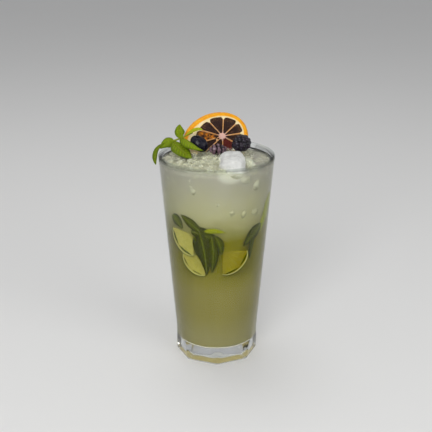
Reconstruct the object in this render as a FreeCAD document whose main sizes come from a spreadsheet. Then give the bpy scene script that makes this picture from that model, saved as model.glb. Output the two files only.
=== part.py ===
"""Mojito in a tall footed tumbler: glass, drink, crushed ice and garnish.

Millimetres, +Z up.  The origin is the middle of the foot's underside, on the
glass's own axis.  -Y is the front, where a corner of the eight-sided foot is.
"""
import FreeCAD, Part
import math
import os

from FreeCAD import Placement, Rotation, Vector

# Driving sizes: alias, value, what it is.  Lengths in mm, angles in degrees.
# "rise" is above the rim plane, "dip" below it, "inset" inwards from the left rim.
DRIVING = (
    ("glass_height", 160, "height of the glass"),
    ("rim_radius", 43.5, "outer radius at the rim"),
    ("rim_wall", 2.2, "wall thickness at the rim"),
    ("rim_round", 0.9, "rounding of both edges of the rim"),
    ("foot_corner", 31.6, "radius to the softened corners of the foot"),
    ("corner_soften", 0.3, "how far a sharp corner of the foot would stand further out"),
    ("foot_sides", 8, "number of flat sides on the foot"),
    ("foot_turn", 1.5, "turn of the front corner from straight ahead"),
    ("knee_height", 20, "height where the upright foot meets the taper"),
    ("facet_top", 27, "height where a flat side has faded out"),
    ("heel_bevel", 1.3, "bevel under the edge of the foot"),
    ("base_thickness", 12.5, "solid glass under the drink"),
    ("foot_wall", 2.4, "glass between the floor's edge and a flat side"),
    ("floor_round", 3.0, "rounding between floor and wall inside"),
    ("drink_dip", 4.7, "drink surface below the rim"),
    ("ice_crown", 5.2, "highest crushed ice above the drink"),
    ("ice_edge", 0.8, "height of the ice's edge above the drink"),
    ("ice_margin", 3.4, "drink left open between ice and wall"),
    ("ice_gap_reach", 13.5, "how far the ice keeps back from the wall on the right"),
    ("ice_grain", 0.55, "unevenness of the ice surface"),
    ("lump_width", 21.2, "white lump, side to side"),
    ("lump_depth", 38, "white lump, front to back"),
    ("lump_height", 16.4, "white lump, top to bottom"),
    ("lump_right", 11.4, "white lump's middle, to the right"),
    ("lump_front", 17, "white lump's middle, to the front"),
    ("lump_dip", 3.4, "white lump's middle below the rim"),
    ("slice_width", 49.6, "orange slice across its back face"),
    ("slice_oval", 0.865, "height of the slice over its width"),
    ("slice_thickness", 4.2, "orange slice from face to face"),
    ("slice_bevel", 3.2, "how much smaller the front face is all round"),
    ("slice_lean", 38, "lean of the slice back from upright"),
    ("slice_turn", 20, "turn of the slice's face to the right"),
    ("slice_right", 1.5, "slice's middle, to the right"),
    ("slice_back", 17, "slice's middle, to the back"),
    ("slice_rise", 8.9, "slice's middle above the rim"),
    ("peel", 4.2, "rind and pith outside the flesh on the front face"),
    ("segments", 9, "segments of the orange"),
    ("segment_depth", 0.9, "dried flesh below the membranes"),
    ("membrane", 1.3, "width of a membrane between two segments"),
    ("core_radius", 2.6, "pithy middle of the slice"),
    ("smooth_length", 15.5, "smooth berry, end to end"),
    ("smooth_girth", 11.2, "smooth berry, across"),
    ("smooth_scar", 1.9, "radius of the stalk scar on the smooth berry"),
    ("bumpy_length", 15.6, "large bumpy berry, end to end"),
    ("bumpy_girth", 13.4, "large bumpy berry, across"),
    ("low_length", 14.2, "low bumpy berry, end to end"),
    ("low_girth", 8.6, "low bumpy berry, across"),
    ("berry_seat", 0.15, "clearance between a berry and the ice it sits in"),
    ("stem_radius", 0.95, "mint stem"),
    ("leaf_thickness", 1.0, "mint leaf at its midrib"),
    ("leaf_edge", 0.35, "mint leaf at its edge"),
    ("crown_leaf_width", 6.6, "upright leaf at the end of the sprig"),
    ("spear_leaf_width", 4.6, "narrow leaf that points at the slice"),
    ("rim_leaf_width", 9.2, "cupped leaf beside the rim"),
    ("hanging_leaf_width", 5.6, "leaf that hangs outside the glass"),
    ("berry_leaf_width", 7.6, "leaf that points under the smooth berry"),
    ("broad_leaf_width", 12.5, "broad leaf that lies over the ice"),
)

# Derived sizes: alias, formula on the aliases above, what it is.
DERIVED = (
    ("apothem", "(foot_corner + corner_soften) * cos(180 deg / foot_sides)",
     "middle of a flat side, were it carried down to the table"),
    ("heel_corner", "foot_corner - heel_bevel", "radius to the corners of the underside"),
    ("facet_at_heel", "apothem + (facet_reach - apothem) * heel_bevel / facet_top",
     "middle of a flat side just above the bevel"),
    ("heel_apothem", "facet_at_heel - heel_bevel", "middle of a side of the underside"),
    ("facet_reach",
     "foot_corner + (rim_radius - foot_corner) * (facet_top - knee_height) / (glass_height - knee_height)",
     "outer radius where a flat side has faded out"),
    ("facet_at_floor", "apothem + (facet_reach - apothem) * base_thickness / facet_top",
     "middle of a flat side at the height of the floor"),
    ("floor_radius", "facet_at_floor - foot_wall", "inside radius at the floor"),
    ("bore_radius", "rim_radius - rim_wall", "inside radius at the rim"),
    ("drink_level", "glass_height - drink_dip", "height of the drink surface"),
    ("level_radius",
     "floor_radius + (bore_radius - floor_radius) * (drink_level - base_thickness)"
     " / (glass_height - base_thickness)",
     "inside radius at the drink surface"),
    ("facet_clear", "2 * rim_radius", "reach of the cut outside a flat side"),
)

doc = FreeCAD.newDocument("mojito")


def make_sheet():
    """One row for each size: what it is, its value, its alias."""
    sheet = doc.addObject("Spreadsheet::Sheet", "Sizes")
    rows = [(alias, str(value), note) for alias, value, note in DRIVING]
    rows += [(alias, "=" + formula, note) for alias, formula, note in DERIVED]
    for number, (alias, content, note) in enumerate(rows, start=1):
        sheet.set("A%d" % number, note)
        sheet.set("B%d" % number, content)
        sheet.setAlias("B%d" % number, alias)
    doc.recompute()
    return sheet


sheet = make_sheet()


def size(alias):
    """The value of one cell, as a plain number."""
    value = sheet.get(alias)
    return float(getattr(value, "Value", value))


# ---------------------------------------------------------------- sketches

def origin_feature(body, role):
    return next(item for item in body.Origin.OriginFeatures if item.Role == role)


def section_sketch(body, name, corners):
    """A closed outline on the body's XZ plane.

    Each corner is a pair of aliases (or 0), radius then height, and the sketch
    holds it there with dimensions bound to those cells.
    """
    sketch = body.newObject("Sketcher::SketchObject", name)
    sketch.AttachmentSupport = (origin_feature(body, "XZ_Plane"), [""])
    sketch.MapMode = "FlatFace"
    places = [[size(item) if item else 0.0 for item in corner] for corner in corners]
    for here, following in zip(places, places[1:] + places[:1]):
        sketch.addGeometry(Part.LineSegment(Vector(*here, 0), Vector(*following, 0)), False)
    import Sketcher
    count = len(corners)
    for index in range(count):
        sketch.addConstraint(
            Sketcher.Constraint("Coincident", index, 2, (index + 1) % count, 1))
    for index, corner in enumerate(corners):
        for kind, alias, origin_kind in (("DistanceX", corner[0], "x"), ("DistanceY", corner[1], "y")):
            value = size(alias) if alias else 0.0
            if alias:
                at = sketch.addConstraint(Sketcher.Constraint(kind, -1, 1, index, 1, value))
                sketch.setExpression("Constraints[%d]" % at, "Sizes." + alias)
            else:
                axis = -2 if origin_kind == "x" else -1
                sketch.addConstraint(Sketcher.Constraint("PointOnObject", index, 1, axis))
    return sketch


def spin(body, kind, name, sketch):
    """A full turn of a section about the glass's axis: Revolution adds, Groove cuts."""
    feature = body.newObject(kind, name)
    feature.Profile = sketch
    feature.ReferenceAxis = (sketch, ["V_Axis"])
    feature.Angle = 360
    sketch.Visibility = False
    body.Tip = feature
    doc.recompute()
    return feature


def circle_edges(shape, height):
    """Names of the round edges that lie level at a height."""
    found = []
    for number, edge in enumerate(shape.Edges, start=1):
        box = edge.BoundBox
        level = abs(box.ZMin - height) < 1e-4 and abs(box.ZMax - height) < 1e-4
        if level and isinstance(edge.Curve, Part.Circle):
            found.append("Edge%d" % number)
    return found


def round_edges(body, name, edges, alias):
    before = body.Tip
    fillet = body.newObject("PartDesign::Fillet", name)
    fillet.Base = (before, edges)
    fillet.setExpression("Radius", "Sizes." + alias)
    body.Tip = fillet
    doc.recompute()
    return fillet


# ------------------------------------------------------------ glass and drink

def make_glass():
    """Tapered tumbler on a thick eight-sided foot whose flat sides fade out."""
    body = doc.addObject("PartDesign::Body", "glass")
    outside = section_sketch(body, "outside", (
        (0, 0), ("heel_corner", 0), ("foot_corner", "heel_bevel"), ("foot_corner", "knee_height"),
        ("rim_radius", "glass_height"), (0, "glass_height")))
    spin(body, "PartDesign::Revolution", "blank", outside)

    flat = section_sketch(body, "flat", (
        ("heel_apothem", 0), ("facet_at_heel", "heel_bevel"), ("facet_reach", "facet_top"),
        ("facet_clear", "facet_top"), ("facet_clear", 0)))
    cut = body.newObject("PartDesign::Pocket", "flat_side")
    cut.Profile = flat
    cut.Type = "Length"
    cut.SideType = "Symmetric"
    cut.setExpression("Length", "2 * Sizes.foot_corner")
    flat.Visibility = False
    doc.recompute()
    ring = body.newObject("PartDesign::PolarPattern", "flat_sides")
    ring.Originals = [cut]
    ring.Axis = (origin_feature(body, "Z_Axis"), [""])
    ring.Angle = 360
    ring.setExpression("Occurrences", "Sizes.foot_sides")
    body.Tip = ring
    doc.recompute()

    inside = section_sketch(body, "inside", (
        (0, "base_thickness"), ("floor_radius", "base_thickness"),
        ("bore_radius", "glass_height"), (0, "glass_height")))
    spin(body, "PartDesign::Groove", "bore", inside)
    round_edges(body, "floor_corner", circle_edges(body.Shape, size("base_thickness")), "floor_round")
    round_edges(body, "rim", circle_edges(body.Shape, size("glass_height")), "rim_round")
    # A corner of the foot, not a flat side, faces the front.
    body.setExpression("Placement.Rotation.Angle", "180 / Sizes.foot_sides + Sizes.foot_turn")
    body.Placement.Rotation.Axis = Vector(0, 0, 1)
    return body


def make_drink_fill():
    """The drink as poured: the glass's own bore up to the drink surface."""
    body = doc.addObject("PartDesign::Body", "drink_fill")
    section = section_sketch(body, "section", (
        (0, "base_thickness"), ("floor_radius", "base_thickness"),
        ("level_radius", "drink_level"), (0, "drink_level")))
    spin(body, "PartDesign::Revolution", "fill", section)
    round_edges(body, "fill_corner", circle_edges(body.Shape, size("base_thickness")), "floor_round")
    return body


def cut_away(label, base, tool):
    """The base without the room that the tool takes up."""
    cut = doc.addObject("Part::Cut", label)
    cut.Base = base
    cut.Tool = tool
    return cut


# ------------------------------------------------------------- orange slice

def slice_placement():
    """The slice's own frame: +Z is its face, +Y runs up the slice."""
    upright = Rotation(Vector(1, 0, 0), 90 - size("slice_lean"))
    turned = Rotation(Vector(0, 0, 1), size("slice_turn"))
    middle = Vector(size("slice_right"), size("slice_back"), size("glass_height") + size("slice_rise"))
    return Placement(middle, turned * upright)


def ellipse_at(label, width, depth):
    """An oval outline of the slice, so far behind its front face."""
    outline = doc.addObject("Part::Ellipse", label)
    outline.setExpression("MajorRadius", width)
    outline.setExpression("MinorRadius", "(%s) * Sizes.slice_oval" % width)
    outline.setExpression("Placement.Base.z", "-(%s)" % depth)
    outline.Visibility = False
    return outline


def make_slice_disc():
    """Oval disc with a slanting rind, wider at the back than at the front."""
    back = "Sizes.slice_width / 2"
    belly = ellipse_at("slice_belly", back, "Sizes.slice_thickness * 0.75")
    sections = [
        ellipse_at("slice_front", back + " - Sizes.slice_bevel", "0"),
        belly,
        ellipse_at("slice_back_face", back + " - Sizes.slice_bevel / 6", "Sizes.slice_thickness"),
    ]
    disc = doc.addObject("Part::Loft", "slice_disc_flat")
    disc.Sections = sections
    disc.Solid = True
    disc.Ruled = True
    placed = doc.addObject("Part::Feature", "slice_disc")
    doc.recompute()
    placed.Shape = disc.Shape
    placed.Placement = slice_placement()
    return disc, placed


def segment_cutter(start, end):
    """One sunk segment: a rounded wedge between two membranes, as a prism.

    The wedge runs from the core to the peel.  Its outer end follows the oval,
    and its sides stay half a membrane away from the lines between segments.
    """
    reach = size("slice_width") / 2 - size("slice_bevel") - size("peel")
    oval = size("slice_oval")
    half = size("membrane") / 2
    inner = size("core_radius")

    def spot(angle, radius):
        return Vector(radius * math.cos(angle), radius * oval * math.sin(angle), 0)

    steps = 6
    outline = []
    shift_out = math.asin(half / reach)
    for step in range(steps + 1):
        share = step / steps
        angle = start + shift_out + (end - start - 2 * shift_out) * share
        shoulder = 1 - 0.09 * abs(2 * share - 1) ** 4
        outline.append(spot(angle, reach * shoulder))
    middle = (start + end) / 2
    apex = inner + half / math.sin((end - start) / 2)
    outline.append(spot(middle + 0.12, apex))
    outline.append(spot(middle - 0.12, apex))
    wire = Part.makePolygon(outline + outline[:1])
    return Part.Face(wire)


def make_slice_flesh(disc):
    """All segments sunk into the front and the back of the disc."""
    depth = size("segment_depth")
    thickness = size("slice_thickness")
    count = int(size("segments"))
    pitch = 2 * math.pi / count
    prisms = []
    for index in range(count):
        face = segment_cutter(index * pitch, (index + 1) * pitch)
        front = face.extrude(Vector(0, 0, 2 * depth))
        front.translate(Vector(0, 0, -depth))
        back = face.extrude(Vector(0, 0, 2 * depth))
        back.translate(Vector(0, 0, -thickness - depth))
        prisms += [front, back]
    sunk = doc.addObject("Part::Feature", "sunk_segments")
    sunk.Shape = Part.makeCompound(prisms)
    flat = cut_away("orange_slice_flat", disc, sunk)
    doc.recompute()
    whole = doc.addObject("Part::Feature", "orange_slice")
    whole.Shape = flat.Shape
    whole.Placement = slice_placement()
    return whole


# --------------------------------------------------------- faceted solids

def closed_rings(label, first, rings, last):
    """A solid whose skin runs from a point, over closed rings, to a point."""
    count = len(rings[0])
    points = [first] + [point for ring in rings for point in ring] + [last]
    end = len(points) - 1
    triangles = []
    for step in range(count):
        after = (step + 1) % count
        triangles.append((0, 1 + after, 1 + step))
        for level in range(len(rings) - 1):
            near = 1 + level * count
            far = near + count
            triangles.append((near + step, near + after, far + after))
            triangles.append((near + step, far + after, far + step))
        tail = 1 + (len(rings) - 1) * count
        triangles.append((end, tail + step, tail + after))
    skin = Part.Shape()
    skin.makeShapeFromMesh((points, triangles), 0.0005)
    solid = Part.Solid(Part.Shell(skin.Faces))
    if solid.Volume < 0:
        solid.reverse()
    feature = doc.addObject("Part::Feature", label)
    feature.Shape = solid
    return feature


def globe(label, reach, levels, around, placement):
    """A closed body whose radius in each direction is given by reach()."""
    rings = []
    for level in range(1, levels):
        polar = math.pi * level / levels
        ring = []
        for step in range(around):
            turn = 2 * math.pi * step / around
            way = Vector(math.sin(polar) * math.cos(turn), math.sin(polar) * math.sin(turn),
                         math.cos(polar))
            ring.append(way * reach(way))
        rings.append(ring)
    top = Vector(0, 0, 1)
    bottom = Vector(0, 0, -1)
    body = closed_rings(label, top * reach(top), rings, bottom * reach(bottom))
    body.Placement = placement
    return body


def oval_reach(way, half_x, half_y, half_z, power=2.0):
    """Distance from the middle of a rounded block to its skin along a direction."""
    total = (abs(way.x / half_x) ** power + abs(way.y / half_y) ** power
             + abs(way.z / half_z) ** power)
    return total ** (-1 / power)


def ripple(x, y, z=0.0):
    """A gentle repeatable unevenness between about -1 and 1."""
    return (math.sin(1.7 * x + 0.6 * y + 0.4) * math.cos(1.3 * y - 0.8 * z + 1.1)
            + 0.6 * math.sin(2.9 * y + 1.9 * x + 2.1 * z) * math.cos(2.3 * x - 1.7 * z)) / 1.6


# ------------------------------------------------------------------- ice

def ice_reach(turn):
    """How far the crushed ice spreads from the axis towards a direction."""
    open_side = math.exp(-(((turn + math.pi) % (2 * math.pi) - math.pi) / 0.62) ** 2)
    spread = size("level_radius") - size("ice_margin") - size("ice_gap_reach") * open_side
    return spread + 0.5 * math.sin(7 * turn) + 0.4 * math.sin(11 * turn + 1)


def ice_height(x, y):
    """Height of the crushed ice above the drink surface."""
    turn = math.atan2(y, x)
    share = min(math.hypot(x, y) / ice_reach(turn), 1.0)
    dome = size("ice_edge") + (size("ice_crown") - size("ice_edge")) * (1 - share ** 2.4)
    settled = min(1.0, 3 * (1 - share))
    return dome + size("ice_grain") * ripple(x / 2.2, y / 2.2) * settled


def make_crushed_ice():
    """Heap of crushed ice that stands out of the drink."""
    around = 44
    levels = 14
    base = size("drink_level")
    rings = []
    for level in range(1, levels + 1):
        ring = []
        for step in range(around):
            turn = 2 * math.pi * step / around
            radius = ice_reach(turn) * level / levels
            x, y = radius * math.cos(turn), radius * math.sin(turn)
            ring.append(Vector(x, y, base + ice_height(x, y)))
        rings.append(ring)
    rings.append([Vector(point.x, point.y, base) for point in rings[-1]])
    return closed_rings("ice_heap", Vector(0, 0, base + ice_height(0, 0)), rings, Vector(0, 0, base))


def make_ice_lump():
    """The large white lump of packed ice at the front right."""
    half = [size(alias) / 2 for alias in ("lump_width", "lump_depth", "lump_height")]

    def reach(way):
        return oval_reach(way, *half, power=2.5) * (0.975 + 0.025 * ripple(4 * way.x, 4 * way.y, 4 * way.z))

    middle = Vector(size("lump_right"), -size("lump_front"), size("glass_height") - size("lump_dip"))
    return globe("ice_lump_blank", reach, 14, 24, Placement(middle, Rotation()))


# ---------------------------------------------------------------- berries

def along(direction, middle):
    """A placement whose +Z points along a direction."""
    return Placement(middle, Rotation(Vector(0, 0, 1), direction))


def above_rim(right, front, rise):
    return Vector(right, -front, size("glass_height") + rise)


def smooth_placement():
    return along(Vector(12.4, -3.0, -8.6), above_rim(-12.8, -1.6, 7.0))


def bumpy_placement():
    return along(Vector(13.5, 4.0, 2.4), above_rim(18.2, -0.8, 7.6))


def low_placement():
    return along(Vector(13.0, 3.0, -0.4), above_rim(1.0, 3.2, 4.0))


def make_smooth_berry():
    """Long smooth berry with the scar of its stalk at the lower end."""
    skin = doc.addObject("Part::Ellipsoid", "smooth_skin")
    skin.setExpression("Radius1", "Sizes.smooth_length / 2")
    skin.setExpression("Radius2", "Sizes.smooth_girth / 2")
    skin.setExpression("Radius3", "Sizes.smooth_girth / 2")
    skin.Angle1, skin.Angle2, skin.Angle3 = -90, 90, 360
    scar = doc.addObject("Part::Sphere", "smooth_scar_cutter")
    scar.setExpression("Radius", "Sizes.smooth_scar")
    scar.setExpression("Placement.Base.z", "Sizes.smooth_length / 2 + Sizes.smooth_scar * 0.72")
    flat = cut_away("smooth_berry_flat", skin, scar)
    doc.recompute()
    berry = doc.addObject("Part::Feature", "smooth_berry")
    berry.Shape = flat.Shape
    berry.Placement = smooth_placement()
    return berry


def bumps(rows, girth, length):
    """Middles of the beads that cover a bumpy berry, row by row along its axis."""
    middles = []
    for row in range(rows):
        polar = math.pi * (row + 0.5) / rows
        count = max(1, round(2 * math.pi * math.sin(polar) * rows / math.pi * 1.08))
        for step in range(count):
            turn = 2 * math.pi * (step + 0.5 * (row % 2)) / count
            middles.append(Vector(
                girth / 2 * math.sin(polar) * math.cos(turn),
                girth / 2 * math.sin(polar) * math.sin(turn),
                length / 2 * math.cos(polar)))
    return middles


def make_bumpy_berry(label, length, girth, rows, placement):
    """A berry made of round beads: in each direction the furthest bead shows."""
    bead = math.pi * girth / rows / 3.3
    inner_girth, inner_length = girth - 1.3 * bead, length - 1.3 * bead
    middles = bumps(rows, inner_girth, inner_length)

    def reach(way):
        best = oval_reach(way, inner_girth / 2, inner_girth / 2, inner_length / 2)
        for middle in middles:
            ahead = way.dot(middle)
            aside = middle.dot(middle) - ahead * ahead
            if ahead > 0 and aside < bead * bead:
                best = max(best, ahead + math.sqrt(bead * bead - aside))
        return min(best, oval_reach(way, girth / 2, girth / 2, length / 2) * 1.03)

    return globe(label, reach, 24, 30, placement)


def berry_cup(label, length, girth, placement):
    """The hollow that a berry has pressed into the ice."""
    cup = doc.addObject("Part::Ellipsoid", label)
    cup.Angle1, cup.Angle2, cup.Angle3 = -90, 90, 360
    grow = 1.03
    cup.setExpression("Radius1", "Sizes.%s / 2 * %g + Sizes.berry_seat" % (length, grow))
    cup.setExpression("Radius2", "Sizes.%s / 2 * %g + Sizes.berry_seat" % (girth, grow))
    cup.setExpression("Radius3", "Sizes.%s / 2 * %g + Sizes.berry_seat" % (girth, grow))
    cup.Placement = placement
    return cup


# ------------------------------------------------------------------- mint

def by_rim(inset, back, rise):
    """A place counted from the left of the rim: inwards, to the back, up."""
    return Vector(-size("rim_radius") + inset, back, size("glass_height") + rise)


def curve(points, share):
    """A point on the curve that three control points give."""
    start, pull, end = points
    return start * (1 - share) ** 2 + pull * (2 * share * (1 - share)) + end * share ** 2


def curve_way(points, share):
    """The direction of that curve."""
    start, pull, end = points
    way = (pull - start) * (2 * (1 - share)) + (end - pull) * (2 * share)
    return way.normalize()


def leaf_outline(share, widest):
    """Half width of a pointed leaf along its midrib, as a share of its widest."""
    bend = share ** (math.log(0.5) / math.log(widest))
    return math.sin(math.pi * min(max(bend, 0.0), 1.0)) ** 0.85


def make_leaf(label, width, points, facing, cup=0.25, widest=0.42):
    """A leaf: its section, a thin lens, is carried along the midrib.

    facing is the way its upper side looks, and cup lifts its two edges.
    """
    stations = 11
    half_points = 4
    thick, thin = size("leaf_thickness") / 2, size("leaf_edge") / 2
    rings = []
    for station in range(1, stations):
        share = station / stations
        middle = curve(points, share)
        way = curve_way(points, share)
        side = way.cross(facing).normalize()
        up = side.cross(way).normalize()
        half = width / 2 * max(leaf_outline(share, widest), 0.12)
        upper, lower = [], []
        for step in range(half_points + 1):
            across = -1 + 2 * step / half_points
            lift = cup * half * across * across
            body = thin + (thick - thin) * (1 - across * across)
            spot = middle + side * (half * across)
            upper.append(spot + up * (lift + body))
            lower.append(spot + up * (lift - body))
        rings.append(upper + lower[::-1])
    return closed_rings(label, curve(points, 0.0), rings, curve(points, 1.0))


def make_stem(label, points, radius):
    """A round stem along the curve of three control points."""
    stations, around = 10, 10
    rings = []
    for station in range(stations + 1):
        share = station / stations
        middle = curve(points, share)
        way = curve_way(points, share)
        side = way.cross(Vector(0, 0, 1)).normalize()
        up = side.cross(way).normalize()
        rings.append([
            middle + side * (radius * math.cos(2 * math.pi * step / around))
            + up * (radius * math.sin(2 * math.pi * step / around))
            for step in range(around)])
    start = curve(points, 0.0) - curve_way(points, 0.0) * (radius * 0.4)
    end = curve(points, 1.0) + curve_way(points, 1.0) * (radius * 0.4)
    return closed_rings(label, start, rings, end)


def make_mint():
    """A sprig: one stem with six leaves, laid over the rim on the left."""
    root = by_rim(10.5, 10.5, 6.4)
    bend = by_rim(16.5, 7.0, 9.6)
    end = by_rim(25.5, 4.6, 14.6)
    stem_line = (root, bend, end)
    stem = make_stem("mint_stem", stem_line, size("stem_radius"))
    low, middle, high = curve(stem_line, 0.05), curve(stem_line, 0.5), curve(stem_line, 0.72)
    leaves = [
        make_leaf("crown_leaf", size("crown_leaf_width"),
                  (middle, by_rim(14.8, 6.4, 15.5), by_rim(16.6, 7.6, 21.2)),
                  Vector(0.2, -1.0, 0.35)),
        make_leaf("spear_leaf", size("spear_leaf_width"),
                  (high, by_rim(29.0, 2.6, 18.6), by_rim(33.2, 1.0, 17.9)),
                  Vector(-0.25, -0.25, 1.0), cup=0.4),
        make_leaf("rim_leaf", size("rim_leaf_width"),
                  (low, by_rim(6.0, 10.4, 8.4), by_rim(0.9, 8.6, 1.2)),
                  Vector(-0.25, -0.75, 1.0), cup=-0.3),
        make_leaf("hanging_leaf", size("hanging_leaf_width"),
                  (low, by_rim(-5.2, 9.5, 5.2), by_rim(-2.4, 5.6, -11.0)),
                  Vector(-0.75, -0.75, 0.3), widest=0.74),
        make_leaf("berry_leaf", size("berry_leaf_width"),
                  (middle, by_rim(20.2, -8.0, 9.4), by_rim(33.5, -12.0, 5.2)),
                  Vector(0.1, -0.55, 1.0), cup=-0.2),
        make_leaf("broad_leaf", size("broad_leaf_width"),
                  (low, by_rim(13.0, 1.0, 4.4), by_rim(25.5, -13.5, -0.3)),
                  Vector(-0.1, -0.25, 1.0), cup=-0.1, widest=0.55),
    ]
    sprig = doc.addObject("Part::MultiFuse", "mint_sprig")
    sprig.Shapes = [stem] + leaves
    return sprig


# --------------------------------------------------------------- the whole

def make_all():
    glass = make_glass()
    fill = make_drink_fill()
    flat_disc, disc = make_slice_disc()
    orange = make_slice_flesh(flat_disc)
    lump_blank = make_ice_lump()
    smooth = make_smooth_berry()
    bumpy = make_bumpy_berry(
        "bumpy_berry", size("bumpy_length"), size("bumpy_girth"), 7, bumpy_placement())
    low = make_bumpy_berry("low_berry", size("low_length"), size("low_girth"), 6, low_placement())
    cups = [
        berry_cup("smooth_cup", "smooth_length", "smooth_girth", smooth_placement()),
        berry_cup("bumpy_cup", "bumpy_length", "bumpy_girth", bumpy_placement()),
        berry_cup("low_cup", "low_length", "low_girth", low_placement()),
    ]
    lump = cut_away("lump_under_bumpy", lump_blank, cups[1])
    lump = cut_away("ice_lump", lump, cups[2])
    drink = cut_away("drink_round_slice", fill, disc)
    drink = cut_away("drink", drink, lump)
    ice = make_crushed_ice()
    for number, tool in enumerate([disc, lump] + cups):
        label = "crushed_ice" if number == len(cups) + 1 else "ice_cut_%d" % number
        ice = cut_away(label, ice, tool)
    mint = make_mint()
    doc.recompute()
    return [glass, drink, ice, lump, orange, mint, smooth, bumpy, low]


def check_and_write(nodes):
    """Every object has to be sound before any file is written."""
    for item in doc.Objects:
        if {"Invalid", "Error"} & set(item.State):
            raise RuntimeError("%s: %s" % (item.Name, item.State))
    for node in nodes:
        shape = node.Shape
        if shape.isNull() or not shape.isValid():
            raise RuntimeError("%s has no sound shape" % node.Label)
        if len(shape.Solids) != 1:
            raise RuntimeError("%s is %d solids" % (node.Label, len(shape.Solids)))
    os.makedirs("parts", exist_ok=True)
    for node in nodes:
        shape = node.Shape
        shape.exportStep("parts/%s.step" % node.Label)
        box = shape.BoundBox
        print("%-14s %9.1f mm3  x %7.2f %7.2f  y %7.2f %7.2f  z %7.2f %7.2f  %d faces" % (
            node.Label, shape.Volume, box.XMin, box.XMax, box.YMin, box.YMax,
            box.ZMin, box.ZMax, len(shape.Faces)))


check_and_write(make_all())
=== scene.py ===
"""Iced mint and lime drink in a footed tumbler, with its ice and garnish."""

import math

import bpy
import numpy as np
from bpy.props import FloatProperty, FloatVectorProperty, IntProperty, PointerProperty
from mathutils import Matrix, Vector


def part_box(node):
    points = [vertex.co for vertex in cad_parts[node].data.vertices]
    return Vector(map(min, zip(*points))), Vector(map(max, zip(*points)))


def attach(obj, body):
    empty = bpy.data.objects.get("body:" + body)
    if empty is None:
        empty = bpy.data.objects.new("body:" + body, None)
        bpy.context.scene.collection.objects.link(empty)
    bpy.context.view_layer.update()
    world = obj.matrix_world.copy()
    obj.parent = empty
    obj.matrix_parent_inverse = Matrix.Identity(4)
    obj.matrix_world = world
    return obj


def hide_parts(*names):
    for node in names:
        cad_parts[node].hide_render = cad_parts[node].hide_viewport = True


bl_info = {
    "name": "Iced Mint Drink",
    "version": (1, 0, 0),
    "blender": (4, 5, 0),
    "location": "3D View > Sidebar > Drink",
    "description": "Builds a tumbler of iced mint drink with its garnish",
    "category": "Object",
}

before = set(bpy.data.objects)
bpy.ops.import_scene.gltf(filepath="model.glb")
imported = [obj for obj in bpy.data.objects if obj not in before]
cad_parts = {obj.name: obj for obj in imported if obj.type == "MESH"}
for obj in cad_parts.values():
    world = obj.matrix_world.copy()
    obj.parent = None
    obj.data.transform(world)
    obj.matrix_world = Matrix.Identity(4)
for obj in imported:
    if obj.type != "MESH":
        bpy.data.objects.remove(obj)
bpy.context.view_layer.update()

MM = 0.001

GLASS_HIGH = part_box("glass")[1]
DRINK_LOW, DRINK_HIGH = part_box("drink")
LUMP_LOW, LUMP_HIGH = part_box("ice_lump")
SMOOTH_LOW, SMOOTH_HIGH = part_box("smooth_berry")
BUMPY_LOW, BUMPY_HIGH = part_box("bumpy_berry")
SMALL_LOW, SMALL_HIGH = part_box("low_berry")

# Heights of the rim, of the drink's surface and of the glass's inside floor.
RIM = GLASS_HIGH.z
LEVEL = DRINK_HIGH.z
FLOOR = DRINK_LOW.z

SMOOTH_MIDDLE = (SMOOTH_LOW + SMOOTH_HIGH) / 2


# ------------------------------------------------------------------ settings

def length(label, value, note):
    """A size or place in metres."""
    return FloatProperty(name=label, description=note, default=value, unit="LENGTH", precision=5)


def degrees(label, value, note):
    """An angle whose default is given in degrees."""
    return FloatProperty(name=label, description=note, default=math.radians(value), unit="ROTATION")


def colour(label, value, note):
    """A colour as linear red, green and blue."""
    return FloatVectorProperty(name=label, description=note, default=value, size=3,
                               min=0.0, max=1.0, subtype="COLOR")


def share(label, value, note):
    """A number from 0 to 1."""
    return FloatProperty(name=label, description=note, default=value, min=0.0, max=1.0,
                         subtype="FACTOR")


def count(label, value, note):
    """A whole number of things."""
    return IntProperty(name=label, description=note, default=value, min=1)


def number(label, value, note):
    """A plain positive number, such as a light's power in watts."""
    return FloatProperty(name=label, description=note, default=value, min=0.0)


class TumblerSettings(bpy.types.PropertyGroup):
    rim_radius: length("Rim radius", GLASS_HIGH.x, "Outer radius at the rim")
    wall: length("Wall", 2.2 * MM, "Wall thickness at the rim")
    foot_corner: length("Foot corner", 31.6 * MM, "Radius to the corners of the foot")
    knee: length("Knee", 20 * MM, "Height where the foot meets the taper")
    facet_top: length("Facet top", 27 * MM, "Height where a flat side has faded out")
    apothem: length("Flat side", 29.47 * MM, "Middle of a flat side at the table")
    sides: count("Sides", 8, "Flat sides of the foot")
    turn: degrees("Turn", 1.5, "Turn of the front corner")
    heel: length("Heel", 0.4 * MM, "Rounding under the edge of the foot")
    punt: length("Punt", 1.9 * MM, "How far the underside is hollowed")
    floor_radius: length("Floor radius", 28.33 * MM, "Inside radius at the floor")
    floor_round: length("Floor rounding", 3.0 * MM, "Rounding between floor and wall")
    tint: colour("Tint", (0.965, 0.985, 0.975), "Colour of the glass")
    rim_clear: share("Rim clearness", 0.80, "Light that passes straight through the rim")
    clear_from: length("Clear from", 5.5 * MM, "Below the rim, where it starts to turn clearer")
    clear_to: length("Clear to", 1.0 * MM, "Below the rim, where it is clearest")
    gloss: colour("Gloss", (0.18, 0.18, 0.18), "Strength of reflections on the glass")


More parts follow.
